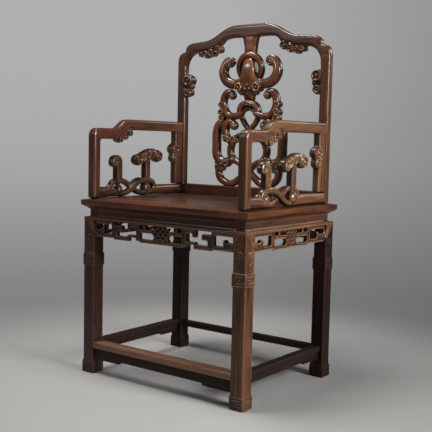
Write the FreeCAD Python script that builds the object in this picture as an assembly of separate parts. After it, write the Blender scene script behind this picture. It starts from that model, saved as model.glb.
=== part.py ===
import FreeCAD, Part
import math
import os

Vector = FreeCAD.Vector

# Carved armchair with a stepped crest rail. Millimetres, Z up, the front faces -Y.
# The origin is on the floor, under the middle of the seat. "Left" is the sitter's left, +X.

# Overall sizes
seat_width = 576.0
seat_depth = 449.0
seat_height = 502.6
back_height = 516.2
overrun = 6.0

# Seat frame: four mitred rails around a floating panel
edge_drop = 5.6
edge_flat = 10.5
edge_round = 17.5
edge_inset = 19.0
edge_sweep = 7.0
edge_slope_width = 30.0
seat_rail_width = 62.0
mitre_tenon_length = 22.0
mitre_tenon_width = 24.0
mitre_tenon_thickness = 9.0
panel_thickness = 13.0
panel_recess = 1.0
panel_tongue = 8.0
panel_tongue_thickness = 5.0
panel_tongue_depth = 8.0
groove_clearance = 0.3
batten_width = 36.0
batten_thickness = 16.0
batten_spacing = 230.0
batten_tenon = 14.0

# Waist and aprons under the seat
waist_height = 14.0
waist_thickness = 14.0
leg_overhang = 7.0
apron_height = 13.0
apron_cove_height = 7.0
apron_thickness = 22.0
apron_lip = 8.0
apron_ear_height = 42.0

# Openwork key fret under each apron
fret_height = 50.0
fret_thickness = 16.0
fret_setback = 3.0
knot_half_width = 27.0
knot_bar = 5.0
knot_crossings = 3
front_inner_stile = (74.0, 87.0)
front_outer_stile = (169.0, 177.5)
side_stile = (81.0, 96.0)
# Blocks of one cell of fret: shares of its width from the middle outwards, and of its height down
middle_cell_shares = ((0.0, 0.25, 1.0, 0.45), (0.0, 0.80, 1.0, 1.0), (0.52, 0.0, 0.68, 0.30))
open_cell_shares = ((0.0, 0.0, 0.39, 0.20), (0.26, 0.15, 0.39, 0.40), (0.63, 0.18, 1.0, 0.49),
                    (0.86, 0.45, 1.0, 0.80), (0.0, 0.63, 0.38, 0.78), (0.32, 0.63, 0.38, 1.0),
                    (0.32, 0.76, 1.0, 1.0))
leg_cell_shares = ((0.0, 0.0, 1.0, 0.18), (0.0, 0.70, 1.0, 0.93), (0.46, 0.49, 1.0, 0.75),
                   (0.46, 0.35, 0.59, 0.55), (0.93, 0.10, 1.0, 0.93))
stile_shares = ((0.0, 0.0, 1.0, 0.93),)
knot_foot_shares = ((0.0, 0.80, 1.0, 1.0),)

# Legs
leg_size = 39.2
foot_size = 43.6
foot_height = 34.0
foot_step = 2.5
collar_height = 33.0
collar_proud = 2.0
collar_drop = 190.6
boss_radius = 10.0
boss_proud = 2.0
boss_drop = 110.6
leg_tenon_length = 12.0

# Stretchers between the legs
footrest_top = 91.0
footrest_thickness = 17.0
footrest_depth = 37.0
footrest_proud = 1.5
foot_apron_height = 27.0
foot_apron_step = 6.0
foot_apron_thickness = 13.0
foot_apron_setback = 6.0
foot_apron_ear = 95.0
side_stretcher_top = 92.0
side_stretcher_height = 15.0
side_stretcher_depth = 26.0
side_apron_height = 18.0
side_apron_step = 6.0
side_apron_ear = 80.0
rear_stretcher_top = 87.5
rear_stretcher_height = 17.5
rear_stretcher_depth = 24.0
stretcher_tenon = 11.0
stretcher_shoulder = 5.0

# Back frame
post_width = 30.0
post_depth = 27.0
post_inset = 15.1
post_front = 175.5
post_length = 402.4
post_tenon = 16.0
post_tenon_size = 13.0
back_rail_height = 31.0
back_rail_tenon = 12.0
post_spiral_radius = 19.0
post_curl_radius = 14.0
post_neck_radius = 9.0
post_spiral_level = 356.4
post_curl_level = 318.4
post_spiral_reach = 9.4

# Crest rail, half outline; the insets are from the outer face of the post
crest_top_half = 40.0
crest_bar = 37.4
crest_step = 42.0
crest_shoulder_inset = 69.9
crest_shoulder_drop = 44.3
crest_notch_inset = 28.9
crest_notch_drop = 72.0
crest_round_drop = 104.0
crest_inner_share = 0.623
crest_scroll_inset = 166.9
crest_scroll_length = 78.0
crest_scroll_drop = 90.0
crest_scroll_rim = 61.0
crest_hollow_drop = 76.0
crest_hollow_inset = 64.9
crest_corner_fill = 7.0

# Splat: tiers of carved openwork between the bottom rail and the crest
splat_thickness = 22.0
bat_reach = 97.5
bat_height = 122.0
bat_body_half = 42.0
bat_eye_radius = 13.0
wing_width = 27.0
neck_half = 19.0
neck_flare_half = 32.0
neck_flare_height = 24.0
stem_half = 16.0
upper_ring_radius = 42.5
upper_ring_width = 18.0
hook_reach = 96.0
hook_height = 94.0
hook_width = 21.0
hook_ball_radius = 12.0
hook_leaf_radius = 12.0
hook_tail_width = 13.0
hook_lap_radius = 20.0
arch_reach = 31.5
arch_height = 104.5
arch_width = 16.0
bar_reach = 120.0
bar_height = 138.0
bar_width = 27.0
curl_width = 22.0
curl_ball_radius = 13.0
cluster_radius = 12.5
strand_width = 20.0
loop_reach = 110.0
loop_height = 86.0
loop_width = 19.0
loop_overlap = 19.6
hook_overlap = 3.0
bat_overlap = 17.0
arch_drop = 51.0

# Arms
arm_thickness = 27.6
arm_post_depth = 26.0
arm_front = 213.9
arm_inset = 14.7
arm_rail_depth = 31.0
arm_front_height = 197.9
arm_back_height = 225.4
arm_corner = 25.0
arm_fillet = 10.0
arm_step_start = 80.0
arm_step_end = 146.0
pendant_start = 94.0
pendant_length = 66.0
pendant_drop = 8.0
arm_foot_height = 31.4
arm_front_foot = 85.0
arm_rear_foot = 168.0
scroll_thickness = 23.0
upright_depth = 32.0
upper_bump_radius = 18.5
lower_bump_radius = 14.0
upper_bump_level = 139.0
lower_bump_level = 112.0
hook_scroll_stem = 26.0
hook_scroll_place = 108.0
hook_scroll_height = 121.4
hook_scroll_reach = 19.0
hook_scroll_ball = 12.5
hook_scroll_foot = 11.0
t_scroll_stem = 25.0
t_scroll_place = 230.5
t_scroll_height = 140.0
t_scroll_half = 63.0
t_scroll_width = 29.0
t_front_ball = 17.0
t_rear_ball = 19.0
chain_height = 54.0
chain_width = 16.0
chain_start = 87.0
chain_end = 257.0

# Where each hook of the splat laps over a leg of the arch, as shares of the hook's reach and height
hook_lap_share = (0.30, 0.20)

# Levels and faces worked out from the sizes above
half_width = seat_width / 2
half_depth = seat_depth / 2
edge_level = seat_height - edge_drop
frame_bottom = edge_level - edge_flat - edge_round
waist_bottom = frame_bottom - waist_height
apron_bottom = waist_bottom - apron_height
fret_bottom = apron_bottom - fret_height
leg_x = half_width - leg_overhang
leg_y = half_depth - leg_overhang
leg_in_x = leg_x - leg_size
leg_in_y = leg_y - leg_size
collar_level = seat_height - collar_drop
boss_level = seat_height - boss_drop
post_x = half_width - post_inset
post_in_x = post_x - post_width
post_back = post_front + post_depth
back_middle = post_front + post_depth / 2
back_rail_top = seat_height + back_rail_height
crest_top = seat_height + back_height
crest_under = crest_top - crest_bar
arm_x = half_width - arm_inset
arm_middle = arm_x - arm_thickness / 2
leg_corners = {"front_left": (1, -1), "front_right": (-1, -1), "rear_left": (1, 1), "rear_right": (-1, 1)}
parts = {}


# Small helpers for flat outlines, drawn in a plane of u across and v up
def flat(u, v):
    return Vector(u, v, 0)


def line(a, b):
    return Part.makeLine(flat(*a), flat(*b))


def curve(*poles):
    """A smooth edge pulled towards the poles between its two ends."""
    bezier = Part.BezierCurve()
    bezier.setPoles([flat(*pole) for pole in poles])
    return bezier.toShape()


def through(points):
    spline = Part.BSplineCurve()
    spline.interpolate([flat(*point) for point in points])
    return spline.toShape()


def outline(edges):
    return Part.Face(Part.Wire(Part.sortEdges(edges)[0]))


def polygon(points):
    return Part.Face(Part.makePolygon([flat(*point) for point in points + points[:1]]))


def disc(u, v, radius):
    return Part.Face(Part.Wire(Part.makeCircle(radius, flat(u, v))))


def band(points, width):
    """A strip of even width along a smooth line through the points, with round ends."""
    middle = Part.BSplineCurve()
    middle.interpolate([flat(*point) for point in points])
    count = 5 * (len(points) - 1)
    left, right = [], []
    for i in range(count + 1):
        t = middle.FirstParameter + (middle.LastParameter - middle.FirstParameter) * i / count
        along = middle.tangent(t)[0]
        across = Vector(-along.y, along.x, 0) * (width / 2)
        left.append(middle.value(t) + across)
        right.append(middle.value(t) - across)
    sides = []
    for side in (left, right):
        spline = Part.BSplineCurve()
        spline.interpolate(side)
        sides.append(spline.toShape())
    first = middle.value(middle.FirstParameter) - middle.tangent(middle.FirstParameter)[0] * (width / 2)
    last = middle.value(middle.LastParameter) + middle.tangent(middle.LastParameter)[0] * (width / 2)
    caps = [Part.Arc(left[-1], last, right[-1]).toShape(), Part.Arc(right[0], first, left[0]).toShape()]
    return outline(sides + caps)


def joined(shapes):
    """Flat faces that overlap, merged into one face."""
    faces = shapes[0].multiFuse(shapes[1:]).Faces
    upright = [face if face.normalAt(0, 0).z > 0 else face.reversed() for face in faces]
    return Part.Shell(upright).removeSplitter()


def placed(shares, across, up, base):
    """Points given as shares of a motif's half width and height, from its base level."""
    return [(u * across, base + v * up) for u, v in shares]


def front_plate(face, back, thickness):
    """A plate in the plane of the back or an apron: u runs along X, v up."""
    plate = face.extrude(Vector(0, 0, thickness))
    plate.rotate(Vector(0, 0, 0), Vector(1, 0, 0), 90)
    plate.translate(Vector(0, back, 0))
    return plate


def side_plate(face, inner, thickness):
    """A plate in the plane of an arm: u runs along Y, v up."""
    plate = face.extrude(Vector(0, 0, thickness))
    plate.rotate(Vector(0, 0, 0), Vector(1, 1, 1), 120)
    plate.translate(Vector(inner, 0, 0))
    return plate


def block(x0, x1, y0, y1, z0, z1):
    return Part.makeBox(x1 - x0, y1 - y0, z1 - z0, Vector(x0, y0, z0))


def plan(points, z0, z1):
    return polygon(points).extrude(Vector(0, 0, z1 - z0)).translated(Vector(0, 0, z0))


def mirrored(shape):
    return shape.mirror(Vector(0, 0, 0), Vector(1, 0, 0))


def turned_back(shape):
    return shape.mirror(Vector(0, 0, 0), Vector(0, 1, 0))


def add(name, shape):
    solids = shape.Solids
    parts[name] = solids[0] if len(solids) == 1 else Part.makeCompound(solids)


def crossing(over, under, zone):
    """A lap joint where two strands cross: over keeps the front half, under the rear half."""
    rear = block(-half_width, half_width, back_middle, post_back + overrun, seat_height, crest_top)
    over = over.cut(under.common(rear).common(zone))
    under = under.cut(over.common(zone))
    return over, under


def lap(over, under, u, v, radius):
    """The same joint with round shoulders, for strands that meet at a slant."""
    zone = disc(u, v, radius)
    over = over.cut(front_plate(zone, back_middle + splat_thickness, splat_thickness))
    under = under.cut(front_plate(zone, back_middle, splat_thickness))
    return over, under


def level_zone(low, high):
    return block(-half_width, half_width, post_front - overrun, post_back + overrun, low, high)


# Seat frame
def mitre_wedge(long_half, short_half, z0, z1):
    """The plan of one side of a mitred frame: a triangle from the edge to the middle."""
    reach = min(long_half, short_half)
    return plan([(-long_half, -short_half), (long_half, -short_half),
                 (long_half - reach, reach - short_half), (reach - long_half, reach - short_half)], z0, z1)


def rail_section(tip):
    edge_top, edge_low = (tip, edge_level), (tip, edge_level - edge_flat)
    inset, inner = tip + edge_inset, tip + seat_rail_width
    return outline([
        line(edge_top, edge_low),
        curve(edge_low, (tip, edge_low[1] - edge_sweep), (inset, frame_bottom + edge_sweep), (inset, frame_bottom)),
        line((inset, frame_bottom), (inner, frame_bottom)),
        line((inner, frame_bottom), (inner, seat_height)),
        line((inner, seat_height), (tip + edge_slope_width, seat_height)),
        line((tip + edge_slope_width, seat_height), edge_top)])


def seat_rail(along_half, across_half):
    """The rail at -Y of a frame that is twice along_half long in X."""
    rail = side_plate(rail_section(-across_half), -along_half, 2 * along_half)
    return rail.common(mitre_wedge(along_half, across_half, frame_bottom, seat_height))


def panel_shapes():
    top = seat_height - panel_recess
    in_x, in_y = half_width - seat_rail_width, half_depth - seat_rail_width
    tongue_top = seat_height - panel_tongue_depth + panel_tongue_thickness / 2
    tongue_low = tongue_top - panel_tongue_thickness
    board = block(-in_x, in_x, -in_y, in_y, top - panel_thickness, top)
    reach_x, reach_y = in_x + panel_tongue, in_y + panel_tongue
    tongue = block(-reach_x, reach_x, -reach_y, reach_y, tongue_low, tongue_top)
    slack = groove_clearance
    groove = block(-reach_x - slack, reach_x + slack, -reach_y - slack, reach_y + slack,
                   tongue_low, tongue_top + slack)
    return board.fuse(tongue).removeSplitter(), groove, top - panel_thickness


def make_seat():
    panel, groove, panel_low = panel_shapes()
    front = seat_rail(half_width, half_depth)
    side = seat_rail(half_depth, half_width)
    side.rotate(Vector(0, 0, 0), Vector(0, 0, 1), 90)
    rear, other = turned_back(front), mirrored(side)
    tenon_out = half_width - seat_rail_width / 2
    tenon_low = frame_bottom + (panel_low - frame_bottom) / 2 - mitre_tenon_thickness / 2
    mitre_y = half_depth - seat_rail_width / 2
    tenon = block(tenon_out - mitre_tenon_width / 2, tenon_out + mitre_tenon_width / 2,
                  mitre_y - mitre_tenon_length, mitre_y + mitre_tenon_length,
                  tenon_low, tenon_low + mitre_tenon_thickness)
    side = side.fuse([tenon, turned_back(tenon)]).removeSplitter()
    other = other.fuse([mirrored(tenon), mirrored(turned_back(tenon))]).removeSplitter()
    battens = []
    for x in (-batten_spacing / 2, batten_spacing / 2):
        reach = half_depth - seat_rail_width + batten_tenon
        battens.append(block(x - batten_width / 2, x + batten_width / 2, -reach, reach,
                             panel_low - batten_thickness, panel_low))
    sockets = leg_tenons() + post_tenons()
    add("seat_front_rail", front.cut([groove, side, other] + battens + sockets))
    add("seat_rear_rail", rear.cut([groove, side, other] + battens + sockets))
    add("seat_left_rail", side.cut([groove] + sockets))
    add("seat_right_rail", other.cut([groove] + sockets))
    add("seat_panel", panel)
    add("seat_batten_right", battens[0])
    add("seat_batten_left", battens[1])


# Tenons that stand in the seat frame from below and from above
def leg_core():
    inner = edge_inset + waist_thickness
    return half_width - inner, half_depth - inner


def leg_tenons():
    core_x, core_y = leg_core()
    tenons = []
    for sx, sy in leg_corners.values():
        xs = sorted((sx * leg_in_x, sx * core_x))
        ys = sorted((sy * leg_in_y, sy * core_y))
        tenons.append(block(xs[0], xs[1], ys[0], ys[1], frame_bottom, frame_bottom + leg_tenon_length))
    return tenons


def post_tenon_at(x, y):
    half = post_tenon_size / 2
    return block(x - half, x + half, y - half, y + half, seat_height - post_tenon, seat_height)


def post_tenons():
    rear_x = post_x - post_width / 2
    front_y = arm_post_depth / 2 - arm_front
    return [post_tenon_at(rear_x, back_middle), post_tenon_at(-rear_x, back_middle),
            post_tenon_at(arm_middle, front_y), post_tenon_at(-arm_middle, front_y)]


# Waist and aprons
def make_waist():
    for name, along, across, turn in (("front", half_width, half_depth, 0),
                                      ("side", half_depth, half_width, 90)):
        face = across - edge_inset
        strip = block(-along, along, -face, waist_thickness - face, waist_bottom, frame_bottom)
        strip = strip.common(mitre_wedge(along, across, waist_bottom, frame_bottom))
        strip.rotate(Vector(0, 0, 0), Vector(0, 0, 1), turn)
        if name == "front":
            add("waist_front", strip)
            add("waist_rear", turned_back(strip))
        else:
            add("waist_left", strip)
            add("waist_right", mirrored(strip))


def cove_waste(along_half, across_half):
    """What the cove takes off the top of a leg, on the side at -Y."""
    face, waist_face = leg_overhang - across_half, edge_inset - across_half
    cove_low = waist_bottom - apron_cove_height
    return side_plate(outline([
        curve((waist_face, waist_bottom), (waist_face, cove_low), (face, cove_low)),
        line((face, cove_low), (face - overrun, cove_low)),
        line((face - overrun, cove_low), (face - overrun, waist_bottom)),
        line((face - overrun, waist_bottom), (waist_face, waist_bottom))]), -along_half, 2 * along_half)


def apron(along_half, across_half):
    """The apron at -Y: a coved band, and a thin mitred ear that laps each leg."""
    face, waist_face = leg_overhang - across_half, edge_inset - across_half
    inner = face + apron_thickness
    cove_low = waist_bottom - apron_cove_height
    low = apron_bottom - apron_ear_height
    envelope = side_plate(outline([
        line((inner, waist_bottom), (waist_face, waist_bottom)),
        curve((waist_face, waist_bottom), (waist_face, cove_low), (face, cove_low)),
        line((face, cove_low), (face, low)),
        line((face, low), (inner, low)),
        line((inner, low), (inner, waist_bottom))]), -along_half, 2 * along_half)
    leg_out = along_half - leg_overhang
    leg_in = leg_out - leg_size
    long_band = block(-leg_in, leg_in, face, inner, apron_bottom, waist_bottom)
    ears = []
    for side in (-1, 1):
        ear = polygon([(side * leg_in, low), (side * leg_out, cove_low), (side * leg_out, waist_bottom),
                       (side * leg_in, waist_bottom)])
        ears.append(front_plate(ear, face + apron_lip, apron_lip))
    whole = long_band.fuse(ears).removeSplitter()
    wedge = mitre_wedge(along_half, across_half, low, waist_bottom)
    return whole.common(envelope).common(wedge).removeSplitter()


def fret_blocks(start, end, block_shares):
    """Rectangles of a cell of fret that runs from start to end, hung from the apron."""
    blocks = []
    for u0, v0, u1, v1 in block_shares:
        left, right = start + u0 * (end - start), start + u1 * (end - start)
        high, low = apron_bottom - v0 * fret_height, apron_bottom - v1 * fret_height
        blocks.append(polygon([(left, low), (right, low), (right, high), (left, high)]))
    return blocks


def knot(half, low, high):
    """Diagonal bars that cross like the strands of an endless knot."""
    pieces = []
    span = high - low
    pitch = 2 * half / knot_crossings
    lean = knot_bar / math.sqrt(2)
    inside = polygon([(-half, low), (half, low), (half, high), (-half, high)])
    for i in range(-knot_crossings, knot_crossings + 1):
        for foot, top in ((i * pitch, i * pitch + span), (i * pitch, i * pitch - span)):
            strand = polygon([(foot - lean, low), (foot + lean, low), (top + lean, high), (top - lean, high)])
            piece = strand.common(inside)
            if piece.Area > 0:
                pieces.append(piece)
    return pieces


def fret(stiles, cells):
    """Cells of fret between stiles, laid out from the middle to the leg and mirrored."""
    pieces = []
    for start, end in stiles:
        pieces += fret_blocks(start, end, stile_shares)
    for start, end, block_shares in cells:
        pieces += fret_blocks(start, end, block_shares)
    pieces += fret_blocks(0, knot_half_width, knot_foot_shares)
    strands = knot(knot_half_width, fret_bottom, apron_bottom)
    return joined(pieces + [mirrored(piece) for piece in pieces] + strands)


def make_aprons():
    front_fret = fret((front_inner_stile, front_outer_stile),
                      ((knot_half_width, front_inner_stile[0], middle_cell_shares),
                       (front_inner_stile[1], front_outer_stile[0], open_cell_shares),
                       (front_outer_stile[1], leg_in_x, leg_cell_shares)))
    side_fret = fret((side_stile,), ((knot_half_width, side_stile[0], middle_cell_shares),
                                     (side_stile[1], leg_in_y, leg_cell_shares)))
    for name, along, across, face in (("front", half_width, half_depth, front_fret),
                                      ("left", half_depth, half_width, side_fret)):
        piece = apron(along, across)
        fret_back = leg_overhang + fret_setback + fret_thickness - across
        openwork = front_plate(face, fret_back, fret_thickness)
        if name == "front":
            add("apron_front", piece)
            add("apron_rear", turned_back(piece))
            add("fret_front", openwork)
            add("fret_rear", turned_back(openwork))
        else:
            for shape in (piece, openwork):
                shape.rotate(Vector(0, 0, 0), Vector(0, 0, 1), 90)
            add("apron_left", piece)
            add("apron_right", mirrored(piece))
            add("fret_left", openwork)
            add("fret_right", mirrored(openwork))


# Legs and stretchers
def leg():
    """The front left leg: square, with a fret collar, a carved boss on each face and a foot."""
    core_x, core_y = leg_core()
    shaft = block(leg_in_x, leg_x, -leg_y, -leg_in_y, 0, waist_bottom)
    core = block(leg_in_x, core_x, -core_y, -leg_in_y, waist_bottom, frame_bottom + leg_tenon_length)
    proud = collar_proud
    collar = block(leg_in_x - proud, leg_x + proud, -leg_y - proud, proud - leg_in_y,
                   collar_level, collar_level + collar_height)
    foot_x, foot_y = leg_x + foot_step, leg_y + foot_step
    foot = block(foot_x - foot_size, foot_x, -foot_y, foot_size - foot_y, 0, foot_height)
    mid_x, mid_y = (leg_x + leg_in_x) / 2, (leg_y + leg_in_y) / 2
    front_boss = Part.makeCylinder(boss_radius, leg_size / 2 + boss_proud,
                                   Vector(mid_x, -mid_y, boss_level), Vector(0, -1, 0))
    side_boss = Part.makeCylinder(boss_radius, leg_size / 2 + boss_proud,
                                  Vector(mid_x, -mid_y, boss_level), Vector(1, 0, 0))
    front_waste, side_waste = cove_waste(half_width, half_depth), cove_waste(half_depth, half_width)
    side_waste.rotate(Vector(0, 0, 0), Vector(0, 0, 1), 90)
    whole = shaft.fuse([core, collar, foot, front_boss, side_boss]).removeSplitter()
    return whole.cut([front_waste, side_waste])


def stretcher(half_length, back, depth, top, height):
    """A bar along X with a tenon, narrower all round, at each end."""
    body = block(-half_length, half_length, back - depth, back, top - height, top)
    reach, shoulder = half_length + stretcher_tenon, stretcher_shoulder
    tenon = block(-reach, reach, back - depth + shoulder, back - shoulder,
                  top - height + shoulder / 2, top - shoulder / 2)
    return body.fuse(tenon).removeSplitter()


def stepped_board(half_length, back, thickness, top, height, steps):
    """The shaped apron under a stretcher; each step at an end is a length and how far it drops."""
    (near_ear, near_drop), (far_ear, far_drop) = steps
    low = top - height
    face = polygon([(-half_length, top), (-half_length, low - near_drop),
                    (near_ear - half_length, low - near_drop), (near_ear - half_length, low),
                    (half_length - far_ear, low), (half_length - far_ear, low - far_drop),
                    (half_length, low - far_drop), (half_length, top)])
    return front_plate(face, back, thickness)


def make_underframe():
    rest_back = footrest_depth - leg_y - footrest_proud
    footrest = stretcher(leg_in_x, rest_back, footrest_depth, footrest_top, footrest_thickness)
    rest_low = footrest_top - footrest_thickness
    board_back = foot_apron_setback + foot_apron_thickness - leg_y
    rest_step = (foot_apron_ear, foot_apron_step)
    board = stepped_board(leg_in_x, board_back, foot_apron_thickness, rest_low, foot_apron_height,
                          (rest_step, rest_step))
    side_back = (side_stretcher_depth - leg_size) / 2 - leg_in_x
    side = stretcher(leg_in_y, side_back, side_stretcher_depth, side_stretcher_top, side_stretcher_height)
    side_board_back = side_back - (side_stretcher_depth - foot_apron_thickness) / 2
    side_board = stepped_board(leg_in_y, side_board_back, foot_apron_thickness,
                               side_stretcher_top - side_stretcher_height, side_apron_height,
                               ((side_apron_ear, 0), (side_apron_ear, side_apron_step)))
    for shape in (side, side_board):
        shape.rotate(Vector(0, 0, 0), Vector(0, 0, 1), 90)
    rear_back = leg_y - (leg_size - rear_stretcher_depth) / 2
    rear = stretcher(leg_in_x, rear_back, rear_stretcher_depth, rear_stretcher_top, rear_stretcher_height)
    add("footrest", footrest)
    add("footrest_apron", board)
    add("stretcher_left", side)
    add("stretcher_right", mirrored(side))
    add("stretcher_apron_left", side_board)
    add("stretcher_apron_right", mirrored(side_board))
    add("stretcher_rear", rear)
    tools = [parts[name] for name in ("footrest", "stretcher_left", "stretcher_right", "stretcher_rear",
                                      "apron_front", "apron_rear", "apron_left", "apron_right")]
    whole = leg()
    for name, (sx, sy) in leg_corners.items():
        shape = whole if sx > 0 else mirrored(whole)
        shape = shape if sy < 0 else turned_back(shape)
        add("leg_" + name, shape.cut(tools))


# Back frame
def crest_half():
    """Right-hand half outline of the crest rail, as edges from the top middle to its underside."""
    top, under = crest_top, crest_under
    step_level = top - crest_step
    shoulder = (post_x - crest_shoulder_inset, top - crest_shoulder_drop)
    notch = (post_x - crest_notch_inset, top - crest_notch_drop)
    post_top = seat_height + post_length
    outer = (post_x, top - crest_round_drop)
    slope_share, high_pole_share, low_pole_share = 0.86, 0.42, 0.48
    run = shoulder[0] - crest_top_half
    slope_start = (crest_top_half + slope_share * run, step_level)
    high_pole = (crest_top_half + high_pole_share * run, top)
    low_pole = (crest_top_half + low_pole_share * run, step_level)
    start, length = post_x - crest_scroll_inset, crest_scroll_length
    inner_half = start * crest_inner_share
    rim = (start, top - crest_scroll_rim)
    rim_shares = ((1.08, 0.46), (1.0, 0.27), (0.92, 0.03), (0.76, -0.05), (0.50, 0.07), (0.25, 0.32),
                  (0.07, 0.63))
    lip = [(start + u * length, top - crest_scroll_drop + v * (crest_scroll_drop - crest_scroll_rim))
           for u, v in rim_shares]
    hollow = (post_x - crest_hollow_inset, top - crest_hollow_drop)
    corner = (post_in_x - crest_corner_fill, hollow[1] - crest_corner_fill)
    inner_low = (post_in_x, post_top)
    return [
        line((0, top), (crest_top_half, top)),
        curve((crest_top_half, top), high_pole, low_pole, slope_start),
        line(slope_start, shoulder),
        curve(shoulder, (notch[0], shoulder[1]), notch),
        curve(notch, (post_x, notch[1]), outer),
        line(outer, (post_x, post_top)),
        line((post_x, post_top), inner_low),
        curve(inner_low, corner, hollow),
        through([hollow] + lip + [rim]),
        curve(rim, (start, under), (inner_half, under)),
        line((inner_half, under), (0, under))]


def make_back():
    half = crest_half()
    face = outline(half + [line((0, crest_under), (0, crest_top))])
    crest = front_plate(joined([face, mirrored(face)]), post_back, post_depth)
    post_top = seat_height + post_length
    post = block(post_in_x, post_x, post_front, post_back, seat_height, post_top)
    carving_x = post_in_x - post_spiral_reach
    neck_level = (post_spiral_level + post_curl_level) / 2
    carving = joined([disc(carving_x, seat_height + post_spiral_level, post_spiral_radius),
                      disc(carving_x - post_neck_radius, seat_height + neck_level, post_neck_radius),
                      disc(carving_x, seat_height + post_curl_level, post_curl_radius)])
    carving = front_plate(carving, post_back, post_depth)
    tenon_low = post_tenon_at(post_x - post_width / 2, back_middle)
    tenon_top = tenon_low.translated(Vector(0, 0, post_length + post_tenon))
    post = post.fuse([carving, tenon_low, tenon_top]).removeSplitter()
    rail = block(-post_in_x, post_in_x, post_front, post_back, seat_height, back_rail_top)
    rail_tenon = block(-post_in_x - back_rail_tenon, post_in_x + back_rail_tenon,
                       back_middle - post_tenon_size / 2, back_middle + post_tenon_size / 2,
                       seat_height + stretcher_shoulder, back_rail_top - stretcher_shoulder)
    rail = rail.fuse(rail_tenon).removeSplitter()
    post = post.cut(rail)
    add("back_rail_bottom", rail)
    add("back_post_left", post)
    add("back_post_right", mirrored(post))
    add("crest_rail", crest.cut([post, mirrored(post)]))


# Splat
def splat_plate(face):
    return front_plate(face, back_middle + splat_thickness / 2, splat_thickness)


def bat_face(base):
    """Gourd-shaped body with an eye and a scrolled wing each side, on a stem and under a neck."""
    wing_shares = ((0.28, 0.27), (0.60, 0.25), (0.85, 0.33), (1.0, 0.54), (0.96, 0.70), (0.84, 0.81),
                   (0.72, 0.81))
    body_shares = ((0.36, 0.93), (0.31, 0.72), (0.43, 0.53), (0.71, 0.41), (1.0, 0.31), (0.90, 0.13),
                   (0.52, 0.01))
    side = placed(body_shares, bat_body_half, bat_height, base)
    mirror_side = [(-u, v) for u, v in side]
    body = outline([through(side), line(side[-1], mirror_side[-1]),
                    through(mirror_side), line(mirror_side[0], side[0])])
    wing = band(placed(wing_shares, bat_reach, bat_height, base), wing_width)
    eye_u, eye_v = placed(((0.85, 0.20),), bat_body_half, bat_height, base)[0]
    neck_low = side[0][1] - overrun
    flare = crest_under - neck_flare_height
    neck = outline([
        line((-neck_half, neck_low), (neck_half, neck_low)),
        line((neck_half, neck_low), (neck_half, flare)),
        curve((neck_half, flare), (neck_half, crest_under), (neck_flare_half, crest_under)),
        line((neck_flare_half, crest_under), (-neck_flare_half, crest_under)),
        curve((-neck_flare_half, crest_under), (-neck_half, crest_under), (-neck_half, flare)),
        line((-neck_half, flare), (-neck_half, neck_low))])
    stem = polygon([(-stem_half, base - bat_overlap), (stem_half, base - bat_overlap),
                    (stem_half, base + stem_half), (-stem_half, base + stem_half)])
    return joined([body, neck, stem] + [piece for half in (wing, disc(eye_u, eye_v, bat_eye_radius))
                                        for piece in (half, mirrored(half))])


def hook_face(base):
    """Scroll that starts under the arch, sweeps out and ends in a ball, with leaves outside."""
    hook_shares = ((0.67, 0.79), (0.76, 0.89), (0.88, 0.87), (0.97, 0.74), (1.0, 0.53), (0.94, 0.32),
                   (0.80, 0.17), (0.58, 0.12), (0.36, 0.17), (0.27, 0.22))
    tail_shares = (hook_lap_share, (0.16, 0.31), (0.0, 0.40), (-0.16, 0.44))
    leaf_shares = ((1.04, 0.50), (1.04, 0.24), (1.05, 0.07))
    points = placed(hook_shares, hook_reach, hook_height, base)
    leaves = [disc(u, v, hook_leaf_radius) for u, v in placed(leaf_shares, hook_reach, hook_height, base)]
    tail = placed(tail_shares, hook_reach, hook_height, base)
    return joined([band(points, hook_width), band(tail, hook_tail_width),
                   disc(points[0][0], points[0][1], hook_ball_radius)] + leaves)


def arch_face(base):
    """Arch whose two legs cross below the hooks and run out to the scroll panels."""
    leg_shares = ((0.0, 1.0), (0.71, 0.93), (1.0, 0.76), (0.91, 0.555), (0.53, 0.36), (0.0, 0.21),
                  (-0.71, 0.08), (-1.35, 0.0))
    half = band(placed(leg_shares, arch_reach, arch_height, base), arch_width)
    return joined([half, mirrored(half)])


def scroll_face(bar_base, loop_base):
    """Tall side bar, its inner curl and strand, and the loop that stands on the bottom rail."""
    bar_shares = ((0.82, 0.92), (0.94, 0.855), (1.0, 0.69), (1.0, 0.435), (0.99, 0.23), (0.92, 0.11),
                  (0.80, 0.06))
    curl_shares = ((0.46, 0.86), (0.55, 0.93), (0.66, 0.905), (0.725, 0.80), (0.715, 0.68), (0.65, 0.58))
    strand_shares = ((0.50, 0.47), (0.55, 0.35), (0.53, 0.22), (0.47, 0.11))
    upper_shares = ((0.70, 0.58), (0.55, 0.54), (0.40, 0.565))
    lower_shares = ((1.0, 0.84), (0.84, 0.84), (0.69, 0.82), (1.01, 0.66), (0.88, 0.66))
    loop_shares = ((0.98, 0.77), (1.0, 0.54), (0.95, 0.31), (0.80, 0.155), (0.61, 0.09), (0.41, 0.18),
                   (0.23, 0.33), (0.0, 0.575), (-0.23, 0.795), (-0.40, 0.90))
    curl = placed(curl_shares, bar_reach, bar_height, bar_base)
    strand = placed(strand_shares, bar_reach, bar_height, bar_base)
    faces = [band(placed(bar_shares, bar_reach, bar_height, bar_base), bar_width),
             band(curl, curl_width),
             disc(curl[0][0], curl[0][1], curl_ball_radius),
             band(strand, strand_width),
             disc(strand[-1][0], strand[-1][1], curl_ball_radius),
             band(placed(loop_shares, loop_reach, loop_height, loop_base), loop_width)]
    faces += [disc(u, v, cluster_radius) for u, v in placed(upper_shares, bar_reach, bar_height, bar_base)]
    faces += [disc(u, v, cluster_radius) for u, v in placed(lower_shares, loop_reach, loop_height, loop_base)]
    return joined(faces)


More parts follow.
